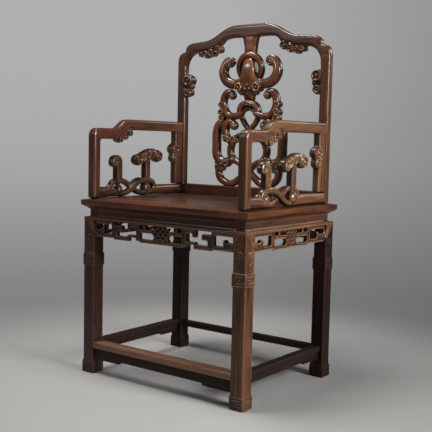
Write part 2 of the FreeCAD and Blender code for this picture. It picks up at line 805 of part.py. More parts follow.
def make_splat():
    loop_base = back_rail_top
    bar_base = loop_base + loop_height - loop_overlap
    hook_base = bar_base + bar_height - hook_overlap
    bat_base = hook_base + hook_height - bat_overlap
    ring_middle = bat_base + bat_height - upper_ring_radius
    bat = splat_plate(bat_face(bat_base))
    ring = splat_plate(disc(0, ring_middle, upper_ring_radius).cut(
        disc(0, ring_middle, upper_ring_radius - upper_ring_width)))
    arch = splat_plate(arch_face(hook_base - arch_drop))
    left_side = block(0, half_width, post_front, post_back, seat_height, crest_top)
    left_hook = splat_plate(hook_face(hook_base)).common(left_side)
    scroll = splat_plate(scroll_face(bar_base, loop_base))
    ring, bat = crossing(ring, bat, level_zone(ring_middle, crest_top))
    ring = ring.cut(bat)
    bat = bat.cut(arch)
    lap_u, lap_v = placed((hook_lap_share,), hook_reach, hook_height, hook_base)[0]
    left_hook, arch = lap(left_hook.cut([bat, ring]), arch, lap_u, lap_v, hook_lap_radius)
    right_hook, arch = lap(mirrored(left_hook), arch, -lap_u, lap_v, hook_lap_radius)
    hooks = (left_hook, right_hook)
    left_scroll, right_scroll = crossing(scroll, mirrored(scroll), level_zone(seat_height, crest_top))
    below = [arch, parts["back_rail_bottom"]]
    add("splat_bat", bat)
    add("splat_ring", ring)
    add("splat_knot", arch)
    add("splat_hook_left", hooks[0])
    add("splat_hook_right", hooks[1])
    add("splat_scroll_left", left_scroll.cut(below + [hooks[0]]))
    add("splat_scroll_right", right_scroll.cut(below + [hooks[1]]))


# Arms, drawn for the left side and mirrored
def arm_frame_face():
    """Front post and stepped top rail in one outline, to be split along the mitre."""
    front, top = -arm_front, seat_height + arm_front_height
    rear_top = seat_height + arm_back_height
    low, rear_low = top - arm_rail_depth, rear_top - arm_rail_depth
    inner = front + arm_post_depth
    step_start, step_end = front + arm_step_start, front + arm_step_end
    middle = (step_start + step_end) / 2
    pendant = front + pendant_start
    end = pendant + pendant_length
    half = (pendant + end) / 2
    mid_low = (low + rear_low) / 2 - pendant_drop / 2
    return outline([
        line((front, seat_height), (front, top - arm_corner)),
        curve((front, top - arm_corner), (front, top), (front + arm_corner, top)),
        line((front + arm_corner, top), (step_start, top)),
        curve((step_start, top), (middle, top), (middle, rear_top), (step_end, rear_top)),
        line((step_end, rear_top), (post_front, rear_top)),
        line((post_front, rear_top), (post_front, rear_low)),
        line((post_front, rear_low), (end, rear_low)),
        curve((end, rear_low), (end + pendant_drop, mid_low), (end - pendant_drop, mid_low)),
        line((end - pendant_drop, mid_low), (half, mid_low)),
        curve((half, mid_low), (half - pendant_drop / 2, low - pendant_drop),
              (half - 2 * pendant_drop, low - pendant_drop)),
        curve((half - 2 * pendant_drop, low - pendant_drop), (pendant, low - pendant_drop), (pendant, low)),
        line((pendant, low), (inner + arm_fillet, low)),
        curve((inner + arm_fillet, low), (inner, low), (inner, low - arm_fillet)),
        line((inner, low - arm_fillet), (inner, seat_height)),
        line((inner, seat_height), (front, seat_height))])


def make_arm():
    front, top = -arm_front, seat_height + arm_front_height
    inner, low = front + arm_post_depth, top - arm_rail_depth
    rear_low = seat_height + arm_back_height - arm_rail_depth
    foot_top = seat_height + arm_foot_height
    thin_x = arm_middle - scroll_thickness / 2
    frame = side_plate(arm_frame_face(), arm_x - arm_thickness, arm_thickness)
    slope = (top - low) / arm_post_depth
    below_mitre = polygon([(front - overrun, seat_height - overrun),
                           (inner + arm_fillet, seat_height - overrun),
                           (inner + arm_fillet, low - arm_fillet),
                           (inner, low - arm_fillet / 2),
                           (front - overrun, top + overrun * slope)])
    lower = side_plate(below_mitre, arm_x - arm_thickness - overrun, arm_thickness + 2 * overrun)
    post = frame.common(lower).fuse(post_tenons()[2]).removeSplitter()
    rail = frame.cut(lower)
    upright = polygon([(post_front - upright_depth, foot_top), (post_front, foot_top),
                       (post_front, rear_low), (post_front - upright_depth, rear_low)])
    bump_u = post_front - upright_depth
    bumps = [disc(bump_u, seat_height + upper_bump_level, upper_bump_radius),
             disc(bump_u, seat_height + lower_bump_level, lower_bump_radius)]
    upright = side_plate(joined([upright] + bumps), thin_x, scroll_thickness)
    upright = upright.cut([parts["back_post_left"]])
    hook_u = front + hook_scroll_place
    chain_top = seat_height + chain_height
    stem_low = chain_top - chain_width / 2
    bend_radius = (hook_scroll_reach + hook_scroll_stem) / 2
    bend_level = seat_height + hook_scroll_height - bend_radius
    half_stem = hook_scroll_stem / 2
    bend_u = hook_u + half_stem - bend_radius
    bend = disc(bend_u, bend_level, bend_radius).common(
        polygon([(bend_u - bend_radius, bend_level), (bend_u + bend_radius, bend_level),
                 (bend_u + bend_radius, bend_level + bend_radius),
                 (bend_u - bend_radius, bend_level + bend_radius)]))
    hook = joined([bend, disc(bend_u - bend_radius + hook_scroll_ball, bend_level, hook_scroll_ball),
                   polygon([(hook_u - half_stem, stem_low), (hook_u + half_stem, stem_low),
                            (hook_u + half_stem, bend_level), (hook_u - half_stem, bend_level)])])
    hook = side_plate(hook, thin_x, scroll_thickness)
    t_u = front + t_scroll_place
    t_top = seat_height + t_scroll_height - t_scroll_width / 2
    head_shares = ((-0.62, -0.30), (-0.15, -0.10), (0.35, 0.02), (0.74, -0.12))
    head = [(t_u + u * t_scroll_half, t_top + v * t_scroll_half) for u, v in head_shares]
    t_half = t_scroll_stem / 2
    t_face = joined([band(head, t_scroll_width),
                     disc(head[0][0], head[0][1], t_front_ball),
                     disc(head[-1][0], head[-1][1], t_rear_ball),
                     polygon([(t_u - t_half, stem_low), (t_u + t_half, stem_low),
                              (t_u + t_half, t_top), (t_u - t_half, t_top)])])
    t_scroll = side_plate(t_face, thin_x, scroll_thickness)
    front_end, rear_start = inner + arm_front_foot, post_front - arm_rear_foot
    chain = chain_plate(front + chain_start, front + chain_end, thin_x)
    front_foot = side_plate(polygon([(inner, seat_height), (front_end, seat_height),
                                     (front_end, foot_top), (inner, foot_top)]), thin_x, scroll_thickness)
    rear_foot = side_plate(polygon([(rear_start, seat_height), (post_front, seat_height),
                                    (post_front, foot_top), (rear_start, foot_top)]),
                           thin_x, scroll_thickness)
    chain = chain.cut([front_foot, rear_foot])
    pieces = {"post": post, "top_rail": rail, "upright": upright, "hook": hook.cut(chain),
              "t_scroll": t_scroll.cut(chain), "chain": chain,
              "front_foot_rail": front_foot, "rear_foot_rail": rear_foot}
    for name, shape in pieces.items():
        add("arm_left_" + name, shape)
        add("arm_right_" + name, mirrored(shape))


def chain_plate(start, end, thin_x):
    """Two strands that twist once between the foot rails, like two chain links, with a scrolled end."""
    strand_shares = ((0.0, 0.38), (0.13, 0.48), (0.25, 0.42), (0.37, 0.22), (0.47, 0.0), (0.57, -0.22),
                     (0.70, -0.42), (0.86, -0.47), (1.0, -0.40))
    length = end - start
    span = chain_height - chain_width
    middle = seat_height + chain_height / 2
    down = band([(start + u * length, middle + v * span) for u, v in strand_shares], chain_width)
    up = band([(start + u * length, middle - v * span) for u, v in strand_shares], chain_width)
    scroll = disc(start, seat_height + chain_height - hook_scroll_foot, hook_scroll_foot)
    return side_plate(joined([down, up, scroll]), thin_x, scroll_thickness)


make_seat()
make_waist()
make_aprons()
make_underframe()
make_back()
make_splat()
make_arm()

os.makedirs("parts", exist_ok=True)
for name, shape in parts.items():
    shape.exportStep("parts/" + name + ".step")
    print(name, len(shape.Solids), "solid", round(shape.Volume), "mm3", "valid", shape.isValid())
print(len(parts), "nodes")
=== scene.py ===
# %% [markdown]
# # A square-back carved armchair in rosewood
#
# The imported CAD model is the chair's joinery: 57 nodes, each at its true place. This file dresses it. Straight
# pieces keep their CAD solid and get an eased edge and a wood finish. Carved pieces are plates with a sawn outline
# in the CAD, so here each is copied, rounded over like a carver would, given its raised work, and cut with lines.
#
# Lengths are written in millimetres, since that is how a joiner reads them, and turned to metres once.

# %% Load the frame
import math

import bmesh
import bpy
import numpy as np
from mathutils import Matrix, Vector
from mathutils.bvhtree import BVHTree
from mathutils.kdtree import KDTree


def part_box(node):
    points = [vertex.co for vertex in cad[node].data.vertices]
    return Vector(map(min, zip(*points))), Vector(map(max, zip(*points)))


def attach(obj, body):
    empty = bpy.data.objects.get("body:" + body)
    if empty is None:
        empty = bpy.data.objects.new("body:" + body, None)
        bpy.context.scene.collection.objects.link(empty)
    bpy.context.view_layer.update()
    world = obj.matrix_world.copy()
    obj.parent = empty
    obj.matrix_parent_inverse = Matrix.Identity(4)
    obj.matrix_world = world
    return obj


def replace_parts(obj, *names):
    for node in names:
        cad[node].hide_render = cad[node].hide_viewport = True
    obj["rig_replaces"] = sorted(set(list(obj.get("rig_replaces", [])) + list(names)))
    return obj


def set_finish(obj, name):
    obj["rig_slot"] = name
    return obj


MM = 0.001
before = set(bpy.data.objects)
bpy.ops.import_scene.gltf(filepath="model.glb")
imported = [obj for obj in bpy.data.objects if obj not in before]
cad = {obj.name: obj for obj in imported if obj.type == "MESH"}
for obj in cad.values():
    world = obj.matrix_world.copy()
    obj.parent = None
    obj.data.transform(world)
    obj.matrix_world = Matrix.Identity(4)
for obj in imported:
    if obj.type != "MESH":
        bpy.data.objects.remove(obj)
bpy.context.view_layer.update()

# %% [markdown]
# ## The camera
#
# The photograph was taken from the sitter's front left, a little above the seat. The place, the turn and the lens
# were solved from straight edges of known length. It is made first, so that every later step can be looked at.

# %% Camera
TURN, DOWN, ROLL = math.radians(36.83), math.radians(5.20), math.radians(1.258)
CAMERA_PLACE = (1400.2, -1837.4, 667.8)
SENSOR_WIDTH, FOCAL_LENGTH = 36.0, 67.78

back = Vector((math.sin(TURN) * math.cos(DOWN), -math.cos(TURN) * math.cos(DOWN), math.sin(DOWN)))
level_right = (-back).cross(Vector((0, 0, 1))).normalized()
level_up = level_right.cross(-back)
right = math.cos(ROLL) * level_right + math.sin(ROLL) * level_up
up = math.cos(ROLL) * level_up - math.sin(ROLL) * level_right

lens = bpy.data.cameras.new("camera")
lens.sensor_width = SENSOR_WIDTH
lens.lens = FOCAL_LENGTH
camera = bpy.data.objects.new("camera", lens)
camera.location = Vector(CAMERA_PLACE) * MM
camera.rotation_euler = Matrix((right, up, back)).transposed().to_euler()
bpy.context.scene.collection.objects.link(camera)
bpy.context.scene.camera = camera
print("camera is", round(camera.location.length, 2), "m from the origin")

# %% [markdown]
# ## Helpers for nodes and colours
#
# A finish is a small network of shader nodes. One function adds any kind of node, sets it, and wires its sockets.
# Colours are written as the sRGB hex a colour picker gives, and one function turns them linear.

# %% Nodes and colours
def add_node(tree, kind, inputs=(), **settings):
    """A shader node with its settings; inputs pairs a socket with a value or with another node's output."""
    made = tree.nodes.new("ShaderNode" + kind)
    for name, value in settings.items():
        setattr(made, name, value)
    for socket, value in dict(inputs).items():
        if isinstance(value, bpy.types.NodeSocket):
            tree.links.new(value, made.inputs[socket])
        else:
            made.inputs[socket].default_value = value
    return made


def linear(hex_colour):
    shares = [int(hex_colour[i:i + 2], 16) / 255 for i in (1, 3, 5)]
    return [s / 12.92 if s <= 0.04045 else ((s + 0.055) / 1.055) ** 2.4 for s in shares] + [1.0]


print("a mid brown in linear light:", [round(c, 3) for c in linear("#6b4630")])

# %% [markdown]
# ## The grain of rosewood
#
# The real wood is a dense tropical rosewood, sawn and carved. To the eye that is a deep red-brown with darker
# streaks about 15 mm apart, paler clouds between them, fibres of about a millimetre and fine open pores.
#
# A picture of wood would need unwrapping, and its joins would show in carved work. So each pattern here is a noise
# stretched along one axis, with its sizes in real millimetres, and runs through a piece as grain does. Pores are
# really about 0.2 mm wide and wouldn't show in the render, so they are drawn 0.9 mm wide.

# %% Grain
# Each pattern's size across and along the grain in mm, its detail, its distortion and a shift of its own
PATTERNS = {"bands": (15, 190, 3, 1.2, 0), "clouds": (34, 260, 2, 0.6, 9), "fibres": (1.3, 42, 2, 0, 4),
            "pores": (0.9, 9, 1, 0, 7), "dents": (11, 11, 2, 0, 2)}


def pattern(tree, place, grain, across_mm, along_mm, detail, distortion, shift):
    """A noise stretched along the grain, which runs along axis 0, 1 or 2."""
    scale = [1 / (across_mm * MM)] * 3
    scale[grain] = 1 / (along_mm * MM)
    spot = add_node(tree, "Mapping", {"Vector": place, "Scale": scale, "Location": (shift, shift / 2, shift / 3)})
    return add_node(tree, "TexNoise", {"Vector": spot.outputs[0], "Scale": 1.0, "Detail": detail,
                                       "Roughness": 0.6, "Distortion": distortion}).outputs[0]


def layer(tree, under, field, low, high, most, over):
    """One colour over another where a field goes from low to high, up to the share most."""
    amount = add_node(tree, "MapRange", {"Value": field, 1: low, 2: high, 3: 0.0, 4: most}).outputs[0]
    return add_node(tree, "Mix", {0: amount, 6: under, 7: linear(over)}, data_type="RGBA").outputs[2]


print(len(PATTERNS), "patterns in the wood:", ", ".join(PATTERNS))

# %% [markdown]
# ## Rubbed edges, with painted highlight on ridges and painted shade on walls and in hollows
#
# Hands and cloths rub the wax off edges, which turn paler. The tops of carving are paler too, partly from rubbing and
# partly as a painted highlight. Hollows, grooves and the sawn walls of openwork are darkened as painted shade.
#
# This could be painted by hand, but the shape already says where it belongs. A bevelled normal finds sharp edges,
# ambient occlusion finds places shut in within 24 mm, pointiness finds the ridges and grooves of a carved skin, and
# the direction of a face tells a sawn wall.

# %% Wear and hollows
RUBBED_WIDTH, SHUT_IN_WIDTH = 3.0, 24.0
# Colours of the painted shade on sawn walls and in hollows and grooves
PAINTED_WALL_SHADE, PAINTED_HOLLOW_SHADE = "#1b0e08", "#120a06"


def wear_and_hollows(tree, colour, dents, worn, wear, grime, carved, face, wall):
    """The colour with its rubbed edges, its ridges paler from wear and painted highlight, its painted shade on walls
    and in hollows, and how far each place is shut in.
    """
    bevel = add_node(tree, "Bevel", {"Radius": RUBBED_WIDTH * MM}, samples=4)
    surface = add_node(tree, "NewGeometry").outputs
    facing = surface["Normal"]
    turned = add_node(tree, "VectorMath", {0: bevel.outputs[0], 1: facing}, operation="DOT_PRODUCT").outputs["Value"]
    edge = add_node(tree, "MapRange", {"Value": turned, 1: 1.0, 2: 0.86, 3: 0.0, 4: wear}).outputs[0]
    patches = add_node(tree, "MapRange", {"Value": dents, 1: 0.38, 2: 0.62, 3: 0.25, 4: 1.0}).outputs[0]
    rubbed = add_node(tree, "Math", {0: edge, 1: patches}, operation="MULTIPLY").outputs[0]
    colour = layer(tree, colour, rubbed, 0.0, 1.0, 1.0, worn)
    # Painted shade where a place is shut in by nearby surfaces; the same measure dulls the gloss
    open_air = add_node(tree, "AmbientOcclusion", {"Distance": SHUT_IN_WIDTH * MM}, samples=6).outputs["AO"]
    shut_in = add_node(tree, "MapRange", {"Value": open_air, 1: 0.88, 2: 0.28, 3: 0.0, 4: grime}).outputs[0]
    # Painted shade on sawn walls that face across the board
    if face is not None:
        towards = add_node(tree, "SeparateXYZ", {0: facing}).outputs[face]
        square_on = add_node(tree, "Math", {0: towards}, operation="ABSOLUTE").outputs[0]
        colour = layer(tree, colour, square_on, 0.72, 0.2, wall, PAINTED_WALL_SHADE)
    # Ridges turn paler, partly as wear and partly as a painted highlight; grooves get painted shade
    if carved:
        turn = surface["Pointiness"]
        colour = layer(tree, colour, turn, 0.515, 0.56, 0.55, worn)
        hollow = add_node(tree, "MapRange", {"Value": turn, 1: 0.49, 2: 0.455, 3: 0.0, 4: 0.95}).outputs[0]
        shut_in = add_node(tree, "Math", {0: shut_in, 1: hollow}, operation="MAXIMUM").outputs[0]
    return layer(tree, colour, shut_in, 0.0, 1.0, 1.0, PAINTED_HOLLOW_SHADE), shut_in


print("edges are rubbed", RUBBED_WIDTH, "mm wide; a hollow counts within", SHUT_IN_WIDTH, "mm")

# %% [markdown]
# ## The finish
#
# The carved wood was rubbed with rushes and finished with wax or a thin lacquer: a soft sheen, glossier where it is
# handled and dull in the hollows. That is a wood of IOR 1.5 under a thin clear coat. The pores and fibres are too
# fine for the mesh, so they are a bump of less than half a millimetre, and the faint dents of the scraper another.
#
# A board shows its grain along its length, so a finish is made for each axis that its boards lie along.

# %% Rosewood
OPEN_PORE = "#160c08"
WAX_IOR, COAT_ROUGHNESS = 1.5, 0.17


def rosewood(name, grain, body, streak, bright, worn, roughness, coat, wear=0.5, grime=0.75, sheen=0.32,
             carved=False, face=None, wall=0.88):
    """A waxed rosewood whose grain runs along axis 0, 1 or 2; the colours are sRGB hex.

    In openwork that faces along one axis, the sawn walls get painted shade."""
    material = bpy.data.materials.new(name)
    material.use_nodes = True
    tree = material.node_tree
    shader = tree.nodes["Principled BSDF"]
    place = add_node(tree, "TexCoord").outputs["Object"]
    bands, clouds, fibres, pores, dents = [pattern(tree, place, grain, *sizes) for sizes in PATTERNS.values()]

    colour = layer(tree, linear(body), bands, 0.46, 0.68, 1.0, streak)
    colour = layer(tree, colour, clouds, 0.50, 0.72, 0.7, bright)
    colour = layer(tree, colour, fibres, 0.35, 0.75, 0.34, streak)
    colour = layer(tree, colour, pores, 0.66, 0.74, 0.6, OPEN_PORE)
    colour, shut_in = wear_and_hollows(tree, colour, dents, worn, wear, grime, carved, face, wall)
    tree.links.new(colour, shader.inputs["Base Color"])

    gloss = add_node(tree, "MapRange", {"Value": bands, 1: 0.3, 2: 0.7, 3: roughness - 0.05, 4: roughness + 0.07})
    dull = add_node(tree, "Math", {0: shut_in, 1: 0.22, 2: gloss.outputs[0]}, operation="MULTIPLY_ADD")
    tree.links.new(dull.outputs[0], shader.inputs["Roughness"])
    relief = add_node(tree, "Math", {0: pores, 1: -0.5, 2: fibres}, operation="MULTIPLY_ADD").outputs[0]
    fine = add_node(tree, "Bump", {"Height": relief, "Strength": 0.12, "Distance": 0.4 * MM}).outputs[0]
    scraped = add_node(tree, "Bump", {"Height": dents, "Strength": 0.14, "Distance": 1.0 * MM, "Normal": fine})
    tree.links.new(scraped.outputs[0], shader.inputs["Normal"])
    for socket, value in (("IOR", WAX_IOR), ("Specular IOR Level", sheen), ("Coat Weight", coat),
                          ("Coat Roughness", COAT_ROUGHNESS), ("Coat IOR", WAX_IOR)):
        shader.inputs[socket].default_value = value
    return material


def three_ways(name, **look):
    """The same wood with its grain along x, y and z."""
    return [rosewood(name + "_grain_" + axis, i, **look) for i, axis in enumerate("xyz")]


print("the woods' wax and coat have an IOR of", WAX_IOR)

# %% [markdown]
# ## Working a carved piece
#
# The joiner saws the outline from a board; the carver then rounds it over, leaves balls and leaves standing, and
# cuts the lines. The steps here are the same: copy the CAD board, turn it to an even skin of small squares with a
# voxel remesh, press its two faces in near the sawn edge, add the raised forms, remesh so that all is one skin,
# and press the cut lines into it. Sculpting it by hand would give no better shape and couldn't be repeated.
#
# A board lies in the plane of the back or of an arm. `BACK` and `ARM` say which axis runs across it and which is
# its depth, so one set of functions serves both.

# %% Planes and smooth lines
BACK = {"across": 0, "depth": 1, "middle": 189.0}
ARM = {"across": 1, "depth": 0, "middle": 259.5}


def on_plane(plane, u, v, deep):
    """Points in mm from their place across, up, and their depth behind the middle of the board."""
    points = np.zeros((len(u), 3))
    points[:, plane["across"]] = u
    points[:, plane["depth"]] = plane["middle"] + deep
    points[:, 2] = v
    return points


def smooth_line(rows, steps=8):
    """A smooth run through rows of numbers: place, and whatever sizes go with it."""
    rows = np.array(rows, float)
    rows = np.vstack([2 * rows[0] - rows[1], rows, 2 * rows[-1] - rows[-2]])
    run = []
    for a, b, c, d in zip(rows, rows[1:], rows[2:], rows[3:]):
        for t in np.arange(steps) / steps:
            run.append(0.5 * (2 * b + (c - a) * t + (2 * a - 5 * b + 4 * c - d) * t ** 2
                              + (3 * b - a - 3 * c + d) * t ** 3))
    return np.array(run + [rows[-2]])


print("the back's boards lie", BACK["middle"], "mm behind the middle, the arms'", ARM["middle"], "mm to each side")

# %% [markdown]
# ### Strands
#
# Most of the openwork is drawn with strands: bars as thick as a thumb that taper, bend and end round. A curve with
# a bevel could make them, but its section is as deep as it is wide. Here rings are set along a smooth line, each
# with its own width, depth and shift, so that one strand can pass in front of another.

# %% Strands
STRAND_SIDES = 24
END_ANGLES = (1.45, 1.0, 0.5)


def strand(plane, rows, flatness=0.72):
    """A round-ended carved strand; each row is across, up, half width, half depth, shift in depth."""
    line = smooth_line(rows)
    along = np.gradient(line[:, :2], axis=0)
    along /= np.linalg.norm(along, axis=1)[:, None]
    stations = [(line[0], along[0], -math.sin(a), math.cos(a)) for a in END_ANGLES]
    stations += [(row, way, 0.0, 1.0) for row, way in zip(line, along)]
    stations += [(line[-1], along[-1], math.sin(a), math.cos(a)) for a in reversed(END_ANGLES)]
    turn = np.linspace(0, 2 * math.pi, STRAND_SIDES, endpoint=False)
    across = np.sign(np.cos(turn)) * np.abs(np.cos(turn)) ** flatness
    behind = np.sign(np.sin(turn)) * np.abs(np.sin(turn)) ** flatness
    rings = []
    for (u, v, half, deep, shift), way, push, size in stations:
        side = across * half * size
        rings.append(on_plane(plane, u + way[0] * push * half - way[1] * side,
                              v + way[1] * push * half + way[0] * side, shift + behind * deep * size))
    faces = [(i * STRAND_SIDES + k, i * STRAND_SIDES + (k + 1) % STRAND_SIDES,
              (i + 1) * STRAND_SIDES + (k + 1) % STRAND_SIDES, (i + 1) * STRAND_SIDES + k)
             for i in range(len(rings) - 1) for k in range(STRAND_SIDES)]
    last = (len(rings) - 1) * STRAND_SIDES
    faces += [tuple(range(STRAND_SIDES))[::-1], tuple(range(last, last + STRAND_SIDES))]
    return np.vstack(rings), faces


print("a strand has", STRAND_SIDES, "sides")

# %% [markdown]
# ### Balls and volutes
#
# The ends of the scrolls are balls, and the leaves and cloud clusters are small volutes: a ridge that winds round a
# bead. Each volute is a flattened ball for the ground, a thin strand along a spiral, and a bead in its middle. Cut
# as a line alone, it would lose the bead, and the photograph shows each one catch the light.

# %% Balls and volutes
def ball(plane, u, v, radius, half_depth, shift=0.0):
    """A ball flattened to its own half depth."""
    bm = bmesh.new()
    bmesh.ops.create_uvsphere(bm, u_segments=20, v_segments=12, radius=1)
    unit = np.array([corner.co for corner in bm.verts])
    faces = [tuple(corner.index for corner in face.verts) for face in bm.faces]
    bm.free()
    return on_plane(plane, u + unit[:, 0] * radius, v + unit[:, 1] * radius, shift + unit[:, 2] * half_depth), faces


def spiral(u, v, radius, turns, start=0.0, hand=1, inner=0.22):
    """The line of a volute, from its rim to its eye."""
    angle = np.linspace(0, turns * 2 * math.pi, 48)
    size = radius * (1 - (1 - inner) * angle / angle[-1])
    return np.stack([u + size * np.cos(start + hand * angle), v + size * np.sin(start + hand * angle)], 1)


def volute(plane, u, v, radius, half_depth, start=0.0, hand=1, shift=0.0):
    """A carved volute: a ridge that winds round a bead, both standing on a lower ground."""
    ridge = [(a, b, radius * 0.19, half_depth, shift)
             for a, b in spiral(u, v, radius * 0.80, 1.05, start, hand, inner=0.72)[::3]]
    return [ball(plane, u, v, radius, half_depth - 3.0, shift), strand(plane, ridge),
            ball(plane, u, v, radius * 0.34, half_depth + 0.5, shift)]


print("a volute is made of", len(volute(BACK, 0, 0, 12, 15)), "shapes")

# %% [markdown]
# ### Meshes to and from numbers
#
# A carved piece starts as lists of corners and faces. These helpers read them from a CAD node, make a Blender
# object of several at once, run one modifier on it, and move its corners. A shape made by modifiers is kept as a
# plain mesh, because the next step has to measure it.

# %% Meshes
def cad_shape(node):
    """Corners in mm and faces of a CAD node, with its doubled corners merged."""
    bm = bmesh.new()
    bm.from_mesh(cad[node].data)
    bmesh.ops.remove_doubles(bm, verts=bm.verts, dist=0.01 * MM)
    bm.verts.index_update()
    corners = np.array([corner.co for corner in bm.verts]) / MM
    faces = [tuple(corner.index for corner in face.verts) for face in bm.faces]
    bm.free()
    return corners, faces


def piece_of(name, shapes):
    """One Blender object from several shapes in mm."""
    corners, faces = [], []
    for points, sides in shapes:
        start = sum(len(block) for block in corners)
        corners.append(points)
        faces += [tuple(start + index for index in side) for side in sides]
    mesh = bpy.data.meshes.new(name)
    mesh.from_pydata([tuple(point) for point in np.vstack(corners) * MM], [], faces)
    piece = bpy.data.objects.new(name, mesh)
    bpy.context.scene.collection.objects.link(piece)
    return piece


def worked(piece, kind, **settings):
    """The piece with one modifier set, applied and kept as its mesh."""
    modifier = piece.modifiers.new(kind, kind)
    for name, value in settings.items():
        setattr(modifier, name, value)
    mesh = bpy.data.meshes.new_from_object(piece.evaluated_get(bpy.context.evaluated_depsgraph_get()))
    piece.modifiers.clear()
    spent, piece.data = piece.data, mesh
    bpy.data.meshes.remove(spent)
    return piece


def read(piece, kind="co"):
    """The corners of a mesh in mm, or their normals."""
    flat = np.empty(len(piece.data.vertices) * 3, np.float32)
    piece.data.vertices.foreach_get(kind, flat)
    return flat.reshape(-1, 3).astype(float) / (MM if kind == "co" else 1)


def write(piece, points):
    """Moves the corners of a mesh to places in mm."""
    piece.data.vertices.foreach_set("co", (points * MM).astype(np.float32).ravel())
    piece.data.update()


print("the crest rail's CAD board has", len(cad_shape("crest_rail")[1]), "faces")

# %% [markdown]
# ### Rounding over
#
# A carver takes the sawn arris off with a file. Where a board runs into its neighbour at a joint it must stay full,
# or the joint would gape. So the distance that rules the rounding is measured from the sawn walls only, without
# those that lie against the named neighbours. A bevel modifier would round every arris, joints too.

# %% Round over
WALL_FACING = 0.6
NEIGHBOUR = 2.2
EDGE_BEAD, BEAD_SLOPE = 2.0, 1.6


def joined_boards(nodes):
    """The boards of one glued frame in one mesh, with no face left inside where they meet."""
    whole = piece_of("boards", [cad_shape(nodes[0])])
    for node in nodes[1:]:
        other = piece_of("next_board", [cad_shape(node)])
        worked(whole, "BOOLEAN", operation="UNION", solver="EXACT", object=other)
        bpy.data.objects.remove(other)
    return whole


def distance_to(points, targets):
    """How far each point is from the nearest target."""
    tree = KDTree(len(targets))
    for i, target in enumerate(targets):
        tree.insert(target, i)
    tree.balance()
    return np.array([tree.find(point)[2] for point in points])


def round_over(piece, plane, half_depth, reach, drop, flush, field):
    """Presses both faces of a board towards its middle near the sawn edge, but not at its joints.

    The rounding reaches that far in from the edge and drops that much there. With a field, the face inside a bead
    along the edge is sunk by that much."""
    points, normals = read(piece), read(piece, "normal")
    deep = plane["depth"]
    wall = points[np.abs(normals[:, deep]) < WALL_FACING]
    for node in flush:
        corners, faces = cad_shape(node)
        tree = BVHTree.FromPolygons([tuple(corner) for corner in corners], faces)
        wall = np.array([point for point in wall if tree.find_nearest(point, NEIGHBOUR)[0] is None])
    from_edge = distance_to(points, wall)
    press = drop * (1 - np.sqrt(1 - (1 - np.clip(from_edge / reach, 0, 1)) ** 2))
    press += field * np.clip((from_edge - EDGE_BEAD) / BEAD_SLOPE, 0, 1)
    offset = points[:, deep] - plane["middle"]
    points[:, deep] = plane["middle"] + offset * (1 - press / half_depth)
    write(piece, points)


print("a wall within", NEIGHBOUR, "mm of a neighbour is left full")

# %% [markdown]
# ### Cut lines and sunk grounds
#
# A cut line is a groove with a round bottom, made with a small gouge, and a sunk ground is the same cut made wide.
# Openwork is seen from both sides, so both faces are cut. Moving the corners of the skin gives true grooves that
# the exported mesh keeps, which a bump in the material would not.

# %% Cut lines
MARK_STEP = 0.5
DEEPEST_CUT = 0.6


def cut_lines(piece, plane, lines, half_width, depth, face=0):
    """Presses grooves into both faces, or into one (face 1 or -1), along lines given across and up."""
    marks = []
    for line in lines:
        line = np.array(line, float)
        for a, b in zip(line, line[1:]):
            count = max(1, int(np.linalg.norm(b - a) / MARK_STEP))
            marks += [a + (b - a) * i / count for i in range(count)]
    points = read(piece)
    flat = np.zeros_like(points)
    flat[:, 0], flat[:, 1] = points[:, plane["across"]], points[:, 2]
    near = np.clip(distance_to(flat, [(u, v, 0) for u, v in marks]) / half_width, 0, 1)
    offset = points[:, plane["depth"]] - plane["middle"]
    press = np.minimum(depth * (1 - near ** 2) ** 2, np.abs(offset) * DEEPEST_CUT)
    if face:
        press[np.sign(offset) != face] = 0
    points[:, plane["depth"]] -= np.sign(offset) * press
    write(piece, points)


print("no cut goes deeper than", DEEPEST_CUT, "of the way to the middle of the board")

# %% [markdown]
# ### One carved piece
#
# All steps in their order make one piece, which then stands for its CAD node. The board is remeshed coarsely before
# it is rounded over, and the whole piece finely after its raised forms are added, so that the forms flow into each
# other as carved wood does and the mesh stays small. In a glued frame of several boards each face takes the wood
# of the board it came from.

# %% Finish and carve
BOARD_GRID, PIECE_GRID = 1.7, 1.35


def finish(piece, woods, slot, nodes=()):
    """Gives each face the wood of the board it came from, and hands the piece to the frame."""
    piece.data.materials.clear()
    for wood in woods:
        piece.data.materials.append(wood)
    if len(woods) > 1:
        trees = [BVHTree.FromPolygons([tuple(c) for c in corners], faces)
                 for corners, faces in (cad_shape(node) for node in nodes)]
        centres = [face.center / MM for face in piece.data.polygons]
        nearest = [min(range(len(trees)), key=lambda i: trees[i].find_nearest(centre)[3]) for centre in centres]
        piece.data.polygons.foreach_set("material_index", nearest)
    piece.data.polygons.foreach_set("use_smooth", [True] * len(piece.data.polygons))
    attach(piece, "root")
    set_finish(piece, slot)
    if nodes:
        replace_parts(piece, *nodes)
    return piece


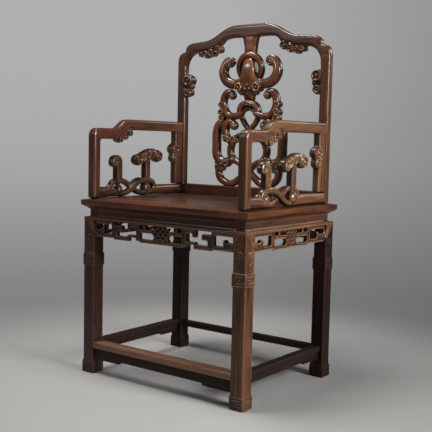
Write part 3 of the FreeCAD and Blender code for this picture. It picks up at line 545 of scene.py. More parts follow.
def carve(name, nodes, plane, woods, rounding=None, raised=(), lines=(), flush=(), wells=(), field=0.0,
          grid=PIECE_GRID, line_half=2.3, line_depth=3.0, slot="carved_rosewood"):
    """A carved piece from its CAD boards, its sunk grounds, its raised forms and its cut lines.

    Rounding is half the board's depth, then its reach and its drop; without it the raised forms stand alone."""
    shapes = list(raised)
    if rounding:
        board = worked(joined_boards(nodes), "REMESH", mode="VOXEL", voxel_size=BOARD_GRID * MM)
        round_over(board, plane, *rounding, flush, field)
        for ground, half_width, depth in wells:
            cut_lines(board, plane, [smooth_line(ground)], half_width, depth)
        shapes.append((read(board), [tuple(face.vertices) for face in board.data.polygons]))
        bpy.data.objects.remove(board)
    piece = worked(piece_of(name, shapes), "REMESH", mode="VOXEL", voxel_size=grid * MM)
    worked(piece, "SMOOTH", factor=0.5, iterations=4)
    if len(lines):
        cut_lines(piece, plane, lines, line_half, line_depth)
        worked(piece, "SMOOTH", factor=0.4, iterations=1)
    print(name, len(piece.data.polygons), "faces")
    return finish(piece, woods, slot, nodes)


print("a board is remeshed at", BOARD_GRID, "mm and most pieces at", PIECE_GRID, "mm")

# %% [markdown]
# ### Twins
#
# A workshop carves left and right in pairs from one drawing. A whole piece is copied to its other side as a mirrored
# mesh, and shapes are mirrored before they are joined where the two sides differ. Mirroring turns every face inside
# out, so the faces are turned round again. A mirror modifier would join both sides into one piece.

# %% The other side
def other_side(piece, name, signs=(-1, 1, 1), nodes=()):
    """The same piece for another side of the chair; unless named, its nodes are those of the same name there."""
    mesh = piece.data.copy()
    mirror = bpy.data.objects.new(name, mesh)
    bpy.context.scene.collection.objects.link(mirror)
    write(mirror, read(piece) * signs)
    if signs[0] * signs[1] < 0:
        mesh.flip_normals()
    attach(mirror, "root")
    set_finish(mirror, piece["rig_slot"])
    nodes = nodes or [node.replace("left", "right") for node in piece.get("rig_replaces", ())]
    if nodes:
        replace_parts(mirror, *nodes)
    return mirror


def mirrored(rows):
    """Rows of a strand for the other half of the chair."""
    return [(-row[0],) + tuple(row[1:]) for row in rows]


def turned_over(shapes):
    """Shapes mirrored to the other side, with their faces still outwards."""
    return [(points * (-1, 1, 1), [face[::-1] for face in faces]) for points, faces in shapes]


print("the mirror of a point at 10, 20:", mirrored([(10, 20)])[0])

# %% [markdown]
# ## The splat: body, wings and ring
#
# The splat is five tiers of openwork between the bottom rail and the crest. The top one is a gourd-shaped body with
# two curled wings and a ring round its neck. Each tier is its own piece, as its CAD node is. Strands are as thick
# as a thumb and polished, so they are built as full rounds, with shallow volutes cut into balls and leaves.
#
# The splat is polished more than the frame, so its wood has a thicker coat. Its wood is also painted paler than the
# frame's as painted light, and its pale rubbed edges and ridges are partly painted highlight.

# %% Body, wings and ring
splat_wood = rosewood("splat_rosewood", 2, body="#6f3f26", streak="#2a140b", bright="#935d39", worn="#cf9d6b",
                      roughness=0.26, coat=0.45, wear=0.3, grime=1.0, carved=True, face=1)
wing = [(27, 846, 14, 12, -1), (58, 843, 15, 13, -2), (84, 853, 15, 13.5, -2), (97.5, 876, 14, 13.5, -2),
        (94, 897, 13, 12.5, -1), (83, 906, 12.5, 12, 0), (73, 905, 12, 12, 0)]
body = [(0, 918, 12, 9, -4), (0, 908, 18, 13, -5), (0, 892, 21, 15, -6), (0, 876, 23.5, 15.5, -6),
        (0, 863, 29, 15, -6), (0, 852, 40, 14.5, -5), (0, 843, 50, 14, -4), (0, 832, 50, 13.5, -4),
        (0, 822, 38, 13, -3), (0, 815, 22, 10, -1)]
neck = [(0, 985, 29, 11, 0), (0, 970, 25, 11.5, 0), (0, 952, 21, 11, 1), (0, 930, 19, 9, 3)]
stem = [(0, 822, 16, 8, 4), (0, 808, 14, 7.5, 4), (0, 794, 14, 8, 4)]
raised = [strand(BACK, body, 0.5), strand(BACK, neck, 0.55), strand(BACK, wing), strand(BACK, mirrored(wing)),
          strand(BACK, stem, 0.5), ball(BACK, 0, 813, 11, 12.5, -3), ball(BACK, 0, 838, 9, 14.5, -6)]
lines = []
for side in (1, -1):
    raised += volute(BACK, side * 33.5, 832, 15.5, 17.5, math.pi / 2, side, -5.5)
    raised += [ball(BACK, side * 7.5, 827, 4.5, 15.5, -6), ball(BACK, side * 26, 818, 9.5, 13, -4)]
    lines += [spiral(side * 74, 905, 8, 1.1, 0, side),
              smooth_line([(side * 4, 819), (side * 12, 822), (side * 19, 829)]),
              smooth_line([(side * 24, 866), (side * 32, 855), (side * 46, 849)])]
carve("splat_body", ["splat_bat"], BACK, [splat_wood], rounding=(11, 11, 6), flush=("crest_rail",), raised=raised,
      lines=lines)

RING_RADIUS, RING_LEVEL = 39.5, 889.5
ring = [(RING_RADIUS * math.sin(a), RING_LEVEL + RING_RADIUS * math.cos(a), 9.4, 11, -6 * math.cos(a))
        for a in np.linspace(-math.pi, math.pi, 17)]
carve("splat_ring_carved", ["splat_ring"], BACK, [splat_wood], raised=[strand(BACK, ring)])

# %% [markdown]
# ## The splat: hooks and arch
#
# Below the body two hooks sweep out and end in balls, with three leaves on the outside of each, and a small arch
# stands between them whose legs cross. One hook is described and turned over for the other side. The arch's legs
# are two strands shifted in depth, so that one passes over the other as the carver left them.

# %% Hooks and arch
hook = [(25, 757, 9, 10, -3), (35, 751, 9.5, 11, -3), (56, 746.5, 10.5, 12, -1), (77, 751, 10.8, 12, 0),
        (90, 765, 11, 12, 0), (96, 785, 11, 12, 0), (93, 804, 11, 12, 0), (84, 816, 10.5, 12, 0), (73, 818, 10, 12, 0),
        (66, 811, 10, 12, 0)]
leaves = [(102, 782, 11, 13.5), (101, 758, 12.5, 14), (98, 741, 11.5, 13)]
raised = [strand(BACK, hook), ball(BACK, 63.5, 809, 13, 14.5, 0)]
for i, leaf in enumerate(leaves):
    raised += volute(BACK, *leaf, 2.2 + i, 1 - 2 * (i % 2))
ball_line = spiral(63.5, 809, 8, 1.2, 0.6, 1)
for side, name in ((1, "left"), (-1, "right")):
    carve("splat_hook_" + name + "_carved", ["splat_hook_" + name], BACK, [splat_wood], rounding=(11, 10, 8),
          raised=raised if side > 0 else turned_over(raised), lines=[ball_line * (side, 1)])

arch = [(0, 787, 9.5, 13.5, -3), (22, 780, 9.5, 13.5, -2.5), (32, 763, 9.5, 12.5, -1), (29.5, 742, 8, 10, 3),
        (16.7, 721.6, 7.5, 10, 3), (0, 705.9, 7.5, 9, 2), (-22, 693.5, 7.5, 10, 2), (-42, 688, 7.5, 10, 2)]
under_arch = [(-row[0],) + row[1:4] + (row[4] * 1.6,) for row in arch]
beads = [np.stack([side * arc[:, 0], arc[:, 1]], 1) for side in (1, -1)
         for arc in (smooth_line([(0, 784), (18, 778), (28, 764)]), smooth_line([(0, 790.5), (24, 783), (35.5, 764)]))]
carve("splat_arch", ["splat_knot"], BACK, [splat_wood], raised=[strand(BACK, arch), strand(BACK, under_arch)],
      lines=beads, line_half=1.7, line_depth=2.2)

# %% [markdown]
# ## The splat: scroll panels
#
# The lowest tiers are a tall panel on each side: an outer bar, an inner curl on a stalk, clusters of small volutes,
# and a loop that stands on the bottom rail and crosses the loop of the other side. Both panels are the same
# shapes turned over, but for the loop: near the middle the left one is shifted forward and the right one back.

# %% Scroll panels
LOOP_SHIFT, LOOP_SHIFT_REACH = 5.0, 34
bar = [(98, 727, 12, 12, 0), (113, 718, 13, 13, 0), (120, 695, 13.5, 13, 0), (120, 660, 13.5, 13, 0),
       (119, 632, 13.5, 13, 0), (110, 615, 13, 13, 0), (97, 608, 12, 12, 0)]
curl = [(57, 716, 10, 12, 0), (61, 725, 11, 12.5, 0), (70, 729, 11, 12.5, 0), (80, 724, 11.5, 13, 0),
        (87, 710, 11.5, 13, 0), (86, 694, 11.5, 13, 0), (78, 680, 10.5, 12, 0), (64, 668, 10, 12, 0)]
stalk = [(78, 684, 9, 11, -1), (62, 666, 10, 12, -1), (66, 648, 10, 12.5, 0), (64, 630, 10, 12.5, 0),
         (57, 616, 10.5, 12, 0)]
loop = [(108, 600, 9, 11), (110, 580, 10, 12), (104.5, 560, 10.3, 12), (88, 547, 10.3, 12), (67, 541.5, 10, 12),
        (45, 547, 10, 12), (27, 561, 10, 11.5), (0, 583, 9.5, 10), (-25, 602, 9.5, 11), (-44, 611, 9.5, 11)]
clusters = [(84, 683, 10, 14.5), (68, 676, 9.5, 15.5), (50, 678, 11.5, 15), (110, 606, 12, 13.5),
            (92, 607, 10, 15), (77, 604, 10.5, 14), (111, 590, 10.5, 13), (97, 590, 10, 13), (69, 618, 7, 15)]
lines = [spiral(55, 718.5, 8.5, 1.2, 5.0, -1), spiral(56, 615, 7, 1.1, 1.0, 1),
         smooth_line([(97, 697), (86, 690), (75, 688), (60, 686)])]
for side, name in ((1, "left"), (-1, "right")):
    woven = [row + (-side * LOOP_SHIFT * max(0.0, 1 - abs(row[0]) / LOOP_SHIFT_REACH),) for row in loop]
    forms = [strand(BACK, rows) for rows in (bar, curl, stalk, woven)]
    forms += [ball(BACK, 55, 718.5, 14, 15), ball(BACK, 55, 615.5, 11, 15)]
    for i, cluster in enumerate(clusters):
        forms += volute(BACK, *cluster, 2.0 + i, 1 - 2 * (i % 2))
    carve("splat_scroll_" + name + "_carved", ["splat_scroll_" + name], BACK, [splat_wood], rounding=(11, 11, 8),
          raised=forms if side > 0 else turned_over(forms), lines=[line * (side, 1) for line in lines])

# %% [markdown]
# ## Posts and crest rail
#
# The back is a square frame whose corners step in twice. Its faces are flat with edges rubbed round by about 5 mm.
# Under each shoulder of the crest hangs a row of small volutes, and a larger pair grows from the inner side of each
# post. The three boards are glued and planed flush, so they are worked as one skin, and each face then takes the
# wood of the board it came from: the joint shows only as a turn of the grain, as it does on the real chair.
#
# The ground round each cluster is sunk first, so that the volutes stand clear of the flat face.

# %% Crest rail and back posts
shaped_wood = three_ways("shaped_rosewood", body="#4e2b1a", streak="#221009", bright="#704325", worn="#8e5f38",
                         roughness=0.31, coat=0.26, grime=0.95, carved=True)
clusters = [(119, 950, 12.5, 16.5), (141, 941, 12.5, 17), (163, 936, 12, 17), (182, 938, 9, 16.5)]
raised, lines, wells = [], [], []
for side in (1, -1):
    for i, (u, v, radius, deep) in enumerate(clusters):
        raised += volute(BACK, side * u, v, radius, deep, 1.2 + i, side * (1 - 2 * (i % 2)))
    raised += volute(BACK, side * 233, 859, 19, 17, 0.4, side) + volute(BACK, side * 234, 822, 13.5, 16, 3.5, -side)
    raised += [ball(BACK, side * 225, 841, 8.5, 14), ball(BACK, side * 237, 840, 9, 10)]
    lines += [smooth_line([(side * u, v) for u, v in ((130, 956), (140, 958), (152, 953), (170, 950), (186, 948))])]
    wells += [([(side * 102, 958), (side * 120, 951), (side * 142, 942), (side * 184, 938)], 14, 8),
              ([(side * 234, 884), (side * 233, 859), (side * 228, 840), (side * 234, 806)], 15, 6)]
carve("back_frame", ["crest_rail", "back_post_left", "back_post_right"], BACK,
      [shaped_wood[0], shaped_wood[2], shaped_wood[2]], rounding=(13.5, 9, 6.5), raised=raised, lines=lines,
      wells=wells, grid=1.6, slot="frame_rosewood",
      flush=("splat_bat", "seat_left_rail", "seat_right_rail", "arm_left_top_rail", "arm_right_top_rail",
             "back_rail_bottom", "arm_left_rear_foot_rail", "arm_right_rear_foot_rail"))

# %% [markdown]
# ## The arm frames
#
# Each arm is a low square frame with a rounded front corner and a step in its top rail, where a small cloud-shaped
# pendant is carved. Its three boards are worked as one skin, as the back's are. The near arm has a wood of its own,
# paler than the back's: partly rubbed by hands and partly painted light, with only a light painted shade on the sawn
# walls.

# %% Arm frame
rubbed_and_lit_wood = three_ways("rubbed_and_lit_rosewood", body="#5e3a24", streak="#2f1b10", bright="#846038", worn="#ab8052",
                          roughness=0.34, coat=0.18, grime=0.95, carved=True, face=0, wall=0.4)
arm_boards = {"arm_left_post": rubbed_and_lit_wood[2], "arm_left_top_rail": rubbed_and_lit_wood[1],
              "arm_left_upright": rubbed_and_lit_wood[2]}
raised = volute(ARM, -104, 670, 11.5, 15.5, 0.5, 1) + volute(ARM, -84, 678, 11, 15.5, 2.5, -1)
raised += volute(ARM, -65, 690, 10.5, 15.5, 3.6, 1) + volute(ARM, 143.5, 643, 17.5, 15, 0.5, -1)
raised += [ball(ARM, 143.5, 614.6, 14, 14)]
lines = [smooth_line([(-118, 676), (-106, 684), (-94, 688), (-82, 696), (-70, 704), (-56, 704)]),
         spiral(145, 614.6, 8, 1.1, 1.0, 1), smooth_line([(122, 628), (134, 630), (146, 628), (160, 630)])]
carvings = [carve("arm_left_frame", list(arm_boards), ARM, list(arm_boards.values()), rounding=(13.8, 8, 6),
                  flush=("back_post_left", "seat_left_rail"), raised=raised, lines=lines, grid=1.5,
                  wells=[([(-120, 669), (-104, 671), (-84, 679), (-58, 697)], 13, 7)], slot="frame_rosewood")]

# %% [markdown]
# ## Hook, T scroll and twisted strands of the arms
#
# On the seat, inside each arm, stand a hook and a T-shaped scroll, held by two strands that twist once between the
# bottom rails. The twist is one strand along a figure of eight whose depth swings from the front of the board to
# its back, so that it passes over itself and under itself in turn.

# %% Pieces inside the arm
scroll_wood = rosewood("scroll_rosewood", 2, body="#644329", streak="#29180e", bright="#8a6942", worn="#b98f63",
                       roughness=0.28, coat=0.36, wear=0.3, grime=1.0, carved=True, face=0)
SCROLL_ROUNDING = (11.5, 9, 7)
hook = [strand(ARM, [(-123, 600, 11.5, 13, 0), (-118, 610, 12, 12.5, 0), (-108, 610, 12.5, 12, 0),
                     (-105.9, 598, 13, 12, 0), (-105.9, 575, 12.5, 11.5, 0), (-105.9, 548, 11.5, 11, 0)]),
        ball(ARM, -125, 601, 13, 14.5), ball(ARM, -105.9, 523, 15, 13, -2)]
t_scroll = [strand(ARM, [(-22, 609, 13, 12, 0), (6, 621, 14, 13, 0), (38, 629, 14.5, 13.5, 0), (62, 621, 15, 13, 0)]),
            *volute(ARM, -22.5, 608, 16.5, 15.5, 0.2, 1), *volute(ARM, 63, 619.5, 18.5, 16, 2.9, -1),
            strand(ARM, [(16.6, 612, 13, 11.5, 0), (16.6, 585, 12.5, 11.5, 0), (16.6, 548, 11.5, 11, 0)]),
            ball(ARM, 16.6, 525, 19, 15, 1.5)]
t_lines = [smooth_line([(-4, 606), (4, 616), (2, 630)]), smooth_line([(14, 612), (24, 622), (22, 637)]),
           smooth_line([(34, 613), (44, 624), (42, 640)])]
eight = [(-47, 529.6, 5), (-66, 541, 5), (-84, 547.5, 5), (-106, 548.5, 5), (-125, 543, 4), (-133, 530, 3),
         (-125, 517, 2), (-106, 511.3, 1), (-84, 511.3, -1), (-66, 517.5, -4), (-47, 529.6, -5), (-28, 541, -5),
         (-8, 547.5, -5), (17, 548.5, -4.5), (38, 543, -4), (46, 530, -3), (38, 517, -2), (17, 511.3, -1),
         (-8, 511.3, 1), (-28, 517.5, 4), (-47, 529.6, 5)]
chain = [strand(ARM, [(u, v, 8.3, 9.6, shift) for u, v, shift in eight]),
         strand(ARM, [(-42, 535, 8, 8.5, 6), (-24, 546, 7, 7.5, 6.5), (-9, 553, 4, 5, 6.5)])]
front_rail = [strand(ARM, [(-196, 517.8, 15.2, 11.8, 0), (-160, 517.8, 15.2, 11.8, 0), (-138, 517.8, 14.6, 11.6, 0),
                           (-122, 514.5, 11.8, 11, 0), (-106, 511.5, 8.5, 10, 0)]), ball(ARM, -139, 527, 13, 12)]
rear_rail = [strand(ARM, [(184, 517.8, 15.2, 11.8, 0), (110, 517.8, 15.2, 11.8, 0), (56, 517.8, 14.8, 11.6, 0),
                          (36, 514.5, 11.8, 11, 0), (17, 511.5, 8.5, 10, 0)])]
for part, forms, lines, wood, rounding in (
        ("hook", hook, [spiral(-125, 601, 8.5, 1.2, 0.4, 1)], scroll_wood, SCROLL_ROUNDING),
        ("t_scroll", t_scroll, t_lines, scroll_wood, SCROLL_ROUNDING),
        ("chain", chain, [], scroll_wood, None),
        ("front_foot_rail", front_rail, [spiral(-139, 526, 9, 1.1, 2.0, -1)], rubbed_and_lit_wood[1], None),
        ("rear_foot_rail", rear_rail, [], rubbed_and_lit_wood[1], None)):
    carvings.append(carve("arm_left_" + part + "_carved", ["arm_left_" + part], ARM, [wood], rounding=rounding,
                          raised=forms, lines=lines))

# %% [markdown]
# ## The right arm
#
# The right arm is the left one mirrored. It is the far one and is kept darker: its frame takes the back's wood,
# without the near arm's painted light, and its scrolls a dimmer kind that is painted shade.

# %% Right arm
far_scroll_shade_wood = rosewood("shaded_far_scroll_rosewood", 2, body="#54331f", streak="#26150c", bright="#73502f",
                           worn="#94693f", roughness=0.30, coat=0.30, wear=0.3, grime=1.0, carved=True, face=0)
# The far arm's woods: the back's wood for the frame, and painted shade on the scrolls
far_wood = dict(zip(rubbed_and_lit_wood + [scroll_wood], shaped_wood + [far_scroll_shade_wood]))
for piece in carvings:
    far_piece = other_side(piece, piece.name.replace("left", "right"))
    for i, wood in enumerate(piece.data.materials):
        far_piece.data.materials[i] = far_wood[wood]
print(len(carvings) * 2, "arm pieces")

# %% [markdown]
# ## Frets under the aprons
#
# Each apron carries a strip of square key fret with an endless knot in its middle. The bars are sawn from one
# board, their faces are sunk inside a bead of 2 mm, and the knot's strands are cut to pass over and under each
# other. A bead also runs from the end of each strip down onto the leg.
#
# The knot is a net of slanted strands whose depth swings, so that neighbours pass over and under in turn. The rear
# strip is the front one mirrored, and the right one the left.

# %% Frets
LEG_X, LEG_Y = 261.4, 197.9
KNOT_HALF_WIDTH, KNOT_CROSSINGS = 26, 3
# The frets' sawn walls and hollows get painted shade, and their ridges a painted highlight
fret_wood = [rosewood(name, grain, body="#482713", streak="#1a0c06", bright="#633c1e", worn="#a87a4c",
                      roughness=0.33, coat=0.20, wear=0.3, grime=1.0, carved=True, face=1 - grain)
             for name, grain in (("front_fret_rosewood", 0), ("side_fret_rosewood", 1))]


def knot_strands(plane, half, low, high, crossings, rear):
    """Strands that weave: at each crossing one comes forward and the other goes back."""
    span, pitch = high - low, 2 * half / crossings
    made = []
    for i in range(-crossings, crossings + 1):
        for lean in (1, -1):
            rows = []
            for step in range(9):
                v = low + span * step / 8
                u = i * pitch + lean * (v - low)
                swing = lean * math.cos(2 * math.pi * (v - low) / pitch)
                rows.append((u, v, 3.4, 4.5, rear * 3.0 * swing))
            rows = [row for row in rows if abs(row[0]) <= half]
            if len(rows) > 2:
                made.append(strand(plane, rows))
    return made


for name, across, mirror in (("front", 0, "rear"), ("left", 1, "right")):
    low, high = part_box("fret_" + name)
    deep = 1 - across
    plane = {"across": across, "depth": deep, "middle": (low[deep] + high[deep]) / 2 / MM}
    outward = 1 if across else -1
    strands = knot_strands(plane, KNOT_HALF_WIDTH, low.z / MM + 3, high.z / MM - 2, KNOT_CROSSINGS, outward)
    on_leg = outward * ((LEG_X if across else LEG_Y) + 13) - plane["middle"]
    leg_edge = high[across] / MM
    for side in (1, -1):
        strands.append(strand(plane, [(side * (leg_edge + 14), 438, 2.4, 8, on_leg),
                                      (side * (leg_edge + 3), 422, 2.6, 8, on_leg),
                                      (side * (leg_edge - 8), 406, 2.8, 8, on_leg)]))
    fret = carve("fret_" + name + "_carved", ["fret_" + name], plane, [fret_wood[across]], rounding=(8, 4, 3),
                 raised=strands, grid=1.3, field=3.2)
    other_side(fret, "fret_" + mirror + "_carved", (-1, 1, 1) if across else (1, -1, 1), ["fret_" + mirror])

# %% [markdown]
# ## Beads along the aprons
#
# Under the cove of each apron runs a pair of thin beads, scratched with a shaped cutter. They are half rounds of
# about 2 mm that stand less than a millimetre proud, so they are drawn as long strands sunk in the apron's face.
# The aprons' wood is painted a little paler than the rest of the frame, as painted light.

# %% Beads
APRON_FACE, BEAD_REACH = (216.6, 280.1), (279.5, 216.0)
BEADS = ((447.6, 1.6), (443.6, 1.4))
# A paler copy of the frame's wood, as painted light on the aprons and their beads
lit_apron_wood = three_ways("lit_apron_rosewood", body="#623a21", streak="#2c170c", bright="#8a5833", worn="#ab7847",
                        roughness=0.34, coat=0.16)
for name, across, outward in (("front", 0, -1), ("rear", 0, 1), ("left", 1, 1), ("right", 1, -1)):
    plane = {"across": across, "depth": 1 - across, "middle": outward * APRON_FACE[across]}
    reach = BEAD_REACH[across]
    pair = [strand(plane, [(u, level, half, 1.7, 0) for u in (-reach, 0, reach)], 1.0) for level, half in BEADS]
    finish(piece_of("apron_beads_" + name, pair), [lit_apron_wood[across]], "frame_rosewood")
print("beads at", " and ".join(str(level) for level, half in BEADS), "mm")

# %% [markdown]
# ## Legs
#
# The legs are straight squares of about 39 mm with every arris rubbed round. On their two outer faces stand a
# small scroll below the apron, a collar and a foot, and both of these carry a square key fret cut as a line. A
# voxel remesh followed by smoothing rounds the arrises as rubbing does, and the lines are pressed in after it.
#
# The near front leg is painted palest, as painted light, the other front leg in painted shade, and the rear ones
# darkest, in painted shade, so there are three woods.

# %% Legs
COLLAR_KEY, FOOT_KEY = (328.5, 14.5, 12), (17, 14, 11)
LEG_SCROLL_LEVEL, LEG_SCROLL_RADIUS = 393, 10.5
sunlit_leg_wood = rosewood("sunlit_leg_rosewood", 2, body="#512d1b", streak="#28140b", bright="#7a5030",
                           worn="#96693f", roughness=0.38, coat=0.14, carved=True)
shaded_leg_wood = rosewood("shaded_leg_rosewood", 2, body="#42231a", streak="#21100b", bright="#5a3322",
                           worn="#7d5536", roughness=0.42, coat=0.08, wear=0.4, carved=True)
rear_leg_shade_wood = rosewood("dark_leg_rosewood", 2, body="#20110b", streak="#100805", bright="#301a10",
                         worn="#513625", roughness=0.5, coat=0.0, wear=0.35, sheen=0.14, carved=True)


def key_line(u, v, half_across, half_up):
    """The square spiral of a key fret."""
    turns = ((1, -1), (-1, -1), (-1, 1), (1, 1), (1, -0.35), (-0.35, -0.35), (-0.35, 0.35), (0.4, 0.35))
    return np.array([(u + half_across * a, v + half_up * b) for a, b in turns])


for row, outer, left_wood, right_wood in (("front", -1, sunlit_leg_wood, shaded_leg_wood),
                                          ("rear", 1, rear_leg_shade_wood, rear_leg_shade_wood)):
    node = "leg_" + row + "_left"
    leg = worked(piece_of(node + "_carved", [cad_shape(node)]), "REMESH", mode="VOXEL", voxel_size=1.5 * MM)
    worked(leg, "SMOOTH", factor=0.5, iterations=12)
    middles = (LEG_X, outer * LEG_Y)
    for across, side in ((0, outer), (1, 1)):
        plane = {"across": across, "depth": 1 - across, "middle": middles[1 - across]}
        centre = middles[across]
        lines = [key_line(centre, *COLLAR_KEY), key_line(centre, *FOOT_KEY),
                 spiral(centre, LEG_SCROLL_LEVEL, LEG_SCROLL_RADIUS, 1.2, 0.6, 1),
                 smooth_line([(centre + 7, 374), (centre - 2, 367), (centre + 1, 354)])]
        cut_lines(leg, plane, lines, 2.2, 2.8, side)
    finish(leg, [left_wood], "frame_rosewood", [node])
    other_side(leg, "leg_" + row + "_right_carved").data.materials[0] = right_wood
    print(node, len(leg.data.polygons), "faces")

# %% [markdown]
# ## Woods of the straight joinery
#
# The seat frame and the battens under it are the plain wood. The waist and the back's bottom rail lie in shade and
# are seldom rubbed, and the stretchers near the floor are darkest. The seat panel is greyer and shinier from
# sitting, and the footrest is trodden pale and dull. Lamps alone could make these differences, but only for one
# view, so each is a wood of its own.

# %% Woods of the straight pieces
frame_wood = three_ways("rosewood", body="#562d19", streak="#261109", bright="#784826", worn="#966437",
                        roughness=0.36, coat=0.14)
shaded_wood = three_ways("shaded_rosewood", body="#472718", streak="#201009", bright="#603a23", worn="#7d5636",
                         roughness=0.42, coat=0.06, wear=0.4)
dark_wood = three_ways("dark_rosewood", body="#22120b", streak="#110805", bright="#341d11", worn="#5c3d28",
                       roughness=0.48, coat=0.0, wear=0.35, sheen=0.2)
panel_wood = rosewood("worn_seat_rosewood", 0, body="#432817", streak="#26150c", bright="#6b4a33", worn="#7e5437",
                      roughness=0.30, coat=0.50, wear=0.3)
tread_wood = rosewood("trodden_rosewood", 0, body="#7e5a43", streak="#4c3121", bright="#a07c62", worn="#bd9876",
                      roughness=0.5, coat=0.08, wear=0.7)


def wood_of(name):
    """The wood of a straight piece, with its grain along the longer side."""
    if name in ("seat_panel", "footrest"):
        return panel_wood if name == "seat_panel" else tread_wood
    look = frame_wood
    for start, other in (("stretcher", dark_wood), ("footrest_apron", dark_wood), ("apron", lit_apron_wood),
                         ("back_rail", shaded_wood), ("waist", shaded_wood)):
        if name.startswith(start):
            look = other
    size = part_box(name)[1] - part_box(name)[0]
    return look[0 if size.x > size.y else 1]


print(len(bpy.data.materials), "finishes")

# %% [markdown]
# ## Straight joinery
#
# Rails, waist, aprons, panel and stretchers keep their CAD solids. A planed edge is never knife sharp, so each gets
# a small eased edge from modifiers: weld the doubled corners, bevel, then weight the normals so that the large
# faces stay flat. The waist and the panel fit close against the rails and keep a smaller edge.

# %% Eased edges
FINE_EASE, EASE = 0.6, 1.8
for name, node in cad.items():
    if node.hide_render:
        continue
    fine = name.startswith(("waist", "seat_panel"))
    node.data.materials.clear()
    node.data.materials.append(wood_of(name))
    weld = node.modifiers.new("weld", "WELD")
    weld.merge_threshold = 0.01 * MM
    bevel = node.modifiers.new("eased_edge", "BEVEL")
    bevel.width = (FINE_EASE if fine else EASE) * MM
    bevel.segments = 2 if fine else 3
    bevel.limit_method = "ANGLE"
    bevel.angle_limit = math.radians(35)
    node.modifiers.new("even_normals", "WEIGHTED_NORMAL")
print(sum(not node.hide_render for node in cad.values()), "nodes keep their CAD solid")

# %% [markdown]
# ## The floor
#
# The studio's grey paper sweep is pale near the chair, darker behind it, and pale again towards the top, as the light
# falls on it. A bent sheet would look right from one side only. So the floor is flat, and its grey follows the
# distance from the chair, which looks like the same kind of studio from every side. Close by it is plain matt paper
# that takes the chair's shadow; farther off the camera sees the sweep's greys, painted light and shade shown as
# emission, which no lamp changes.
#
# The sweep and the backdrop both get painted shade towards the sitter's left, and so does the matt paper close by, as
# a painted shadow. Rays that mirror see part of the sweep's grey.

# %% How the greys fall off, and who sees them
ACROSS_VIEW = (0.80, 0.60, 0.0)
DARKEST_SIDE = 0.52


def falling_off(tree, place, near_size):
    """How much the studio's greys are darkened towards the sitter's left by painted shade, as a share."""
    far = add_node(tree, "VectorMath", {0: place}, operation="LENGTH").outputs["Value"]
    reach = add_node(tree, "Math", {0: far, 1: near_size}, operation="ADD").outputs[0]
    side = add_node(tree, "VectorMath", {0: place, 1: ACROSS_VIEW}, operation="DOT_PRODUCT").outputs["Value"]
    turned = add_node(tree, "Math", {0: side, 1: reach}, operation="DIVIDE").outputs[0]
    return add_node(tree, "MapRange", {"Value": turned, 1: 0.0, 2: 0.40, 3: 1.0, 4: DARKEST_SIDE}).outputs[0]


def looking(tree):
    """1 for the camera's own rays, and 1 for rays that mirror or pass through."""
    rays = add_node(tree, "LightPath").outputs
    bounced = add_node(tree, "Math", {0: rays["Is Glossy Ray"], 1: rays["Is Transmission Ray"]}, operation="MAXIMUM")
    return rays["Is Camera Ray"], bounced.outputs[0]


print("the darkest side has", DARKEST_SIDE, "of the grey")

# %% [markdown]
# ### The paper
#
# Paper for a studio is matt, with hardly any sheen. One material is both: a matt surface near the chair, and the
# sweep's grey as plain emission farther off, mixed by the distance. The floor is laid out in metres and reaches
# far enough that its edge is never seen.

# %% Floor
FLOOR_HALF = 90
MIRRORED_FLOOR = 0.35
SWEEP_GREYS = ((0.22, "#a6a5a2"), (0.31, "#8d8c8a"), (0.37, "#838382"), (0.44, "#848483"), (0.60, "#919191"),
               (0.76, "#9d9d9d"), (0.95, "#a9a9a9"))
floor_mesh = bpy.data.meshes.new("floor")
floor_mesh.from_pydata([(FLOOR_HALF * x, FLOOR_HALF * y, 0) for x, y in ((-1, -1), (1, -1), (1, 1), (-1, 1))], [],
                       [(0, 1, 2, 3)])
floor = bpy.data.objects.new("floor", floor_mesh)
bpy.context.scene.collection.objects.link(floor)
paper = bpy.data.materials.new("grey_paper")
paper.use_nodes = True
tree = paper.node_tree
shader, output = tree.nodes["Principled BSDF"], tree.nodes["Material Output"]
shader.inputs["Roughness"].default_value = 0.9
shader.inputs["Specular IOR Level"].default_value = 0.1
spot = add_node(tree, "TexCoord").outputs["Object"]
# Painted shadow: the matt paper's own grey darkens towards the sitter's left
near_grey = add_node(tree, "VectorMath", {0: linear("#9b9a97")[:3], "Scale": falling_off(tree, spot, 1.6)},
                     operation="SCALE").outputs[0]
tree.links.new(near_grey, shader.inputs["Base Color"])
far = add_node(tree, "VectorMath", {0: spot}, operation="LENGTH").outputs["Value"]
beyond = add_node(tree, "Math", {0: far, 1: 2.0}, operation="ADD").outputs[0]
depth = add_node(tree, "Math", {0: far, 1: beyond}, operation="DIVIDE").outputs[0]
steps = add_node(tree, "ValToRGB", {0: depth})
ramp = steps.color_ramp
for end, (place, grey) in zip(ramp.elements, (SWEEP_GREYS[0], SWEEP_GREYS[-1])):
    end.position, end.color = place, linear(grey)
for place, grey in SWEEP_GREYS[1:-1]:
    ramp.elements.new(place).color = linear(grey)
# The sweep's greys and their darker side are painted light and shade, shown as emission
sweep = add_node(tree, "Emission", {"Color": steps.outputs[0], "Strength": falling_off(tree, spot, 2.4)})
camera_ray, bounced = looking(tree)
mirrored_part = add_node(tree, "Math", {0: bounced, 1: MIRRORED_FLOOR}, operation="MULTIPLY").outputs[0]
straight = add_node(tree, "Math", {0: camera_ray, 1: mirrored_part}, operation="MAXIMUM").outputs[0]
away = add_node(tree, "MapRange", {"Value": far, 1: 0.55, 2: 1.15}, interpolation_type="SMOOTHSTEP").outputs[0]
amount = add_node(tree, "Math", {0: straight, 1: away}, operation="MULTIPLY").outputs[0]
ground = add_node(tree, "MixShader", {0: amount, 1: shader.outputs[0], 2: sweep.outputs[0]})
tree.links.new(ground.outputs[0], output.inputs["Surface"])
floor_mesh.materials.append(paper)
print("the sweep has", len(SWEEP_GREYS), "greys")

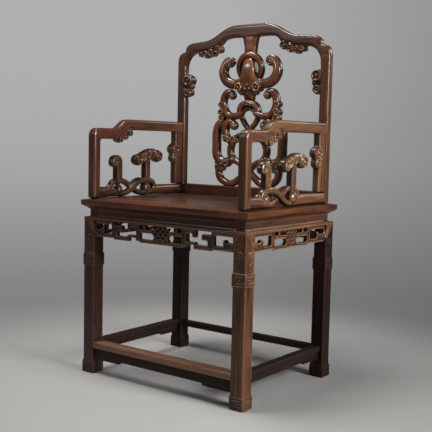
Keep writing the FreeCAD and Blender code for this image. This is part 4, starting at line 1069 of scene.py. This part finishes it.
# %% [markdown]
# ## The backdrop
#
# The world carries the sweep's greys on above the horizon. Polished wood mirrors darker greys than the camera sees,
# because the rest of the studio round the sweep was dark, and the light that the world itself sheds is very weak:
# the lamps do the lighting.

# %% World
ROOM_LIGHT = "#242323"
world = bpy.data.worlds.new("studio")
bpy.context.scene.world = world
world.use_nodes = True
tree = world.node_tree
way = add_node(tree, "TexCoord").outputs["Generated"]
height = add_node(tree, "SeparateXYZ", {0: way}).outputs[2]
rise = add_node(tree, "MapRange", {"Value": height, 1: 0.0, 2: 0.10}).outputs[0]
greys = add_node(tree, "Mix", {0: rise, 6: linear("#aaaaaa"), 7: linear("#b0b0b0")}, data_type="RGBA").outputs[2]
# The backdrop's greys darken towards the sitter's left as painted shade
seen = add_node(tree, "VectorMath", {0: greys, "Scale": falling_off(tree, way, 0.0)}, operation="SCALE").outputs[0]
low_down = add_node(tree, "MapRange", {"Value": height, 1: 0.12, 2: 0.35}).outputs[0]
polish = add_node(tree, "Mix", {0: low_down, 6: linear("#7d7b79"), 7: linear("#403e3c")}, data_type="RGBA").outputs[2]
camera_ray, bounced = looking(tree)
shine = add_node(tree, "Mix", {0: bounced, 6: linear(ROOM_LIGHT), 7: polish}, data_type="RGBA").outputs[2]
room = add_node(tree, "Mix", {0: camera_ray, 6: shine, 7: seen}, data_type="RGBA").outputs[2]
tree.links.new(room, tree.nodes["Background"].inputs["Color"])
print("the world has", len(tree.nodes), "nodes")

# %% [markdown]
# ## Lamps
#
# The light is a large soft lamp on the sitter's left, a broad one overhead, and weak ones in front and behind. Round
# area lamps of about a metre give the long soft highlights that run down the posts and arms in the photograph. A
# smaller one in front gives the balls and volutes their small bright spots.

# %% Lamps
# Each lamp's place and target in metres, its size in metres and its watts
LAMPS = (("overhead", (-0.5, -0.4, 2.85), (0, 0, 0.4), 1.1, 70), ("side", (2.6, -0.15, 1.35), (0, 0, 0.6), 0.95, 104),
         ("front", (-1.7, -2.3, 1.9), (0, 0, 0.7), 0.35, 11), ("rear", (1.6, 2.6, 1.9), (0, 0, 0.6), 1.0, 16))
for name, place, target, size, watts in LAMPS:
    lamp = bpy.data.lights.new(name, "AREA")
    lamp.shape = "DISK"
    lamp.size = size
    lamp.energy = watts
    holder = bpy.data.objects.new(name, lamp)
    holder.location = place
    holder.rotation_euler = (Vector(target) - Vector(place)).to_track_quat("-Z", "Y").to_euler()
    bpy.context.scene.collection.objects.link(holder)
bpy.context.scene.view_settings.view_transform = "Standard"
print(len(LAMPS), "lamps of", sum(lamp[-1] for lamp in LAMPS), "W in all")
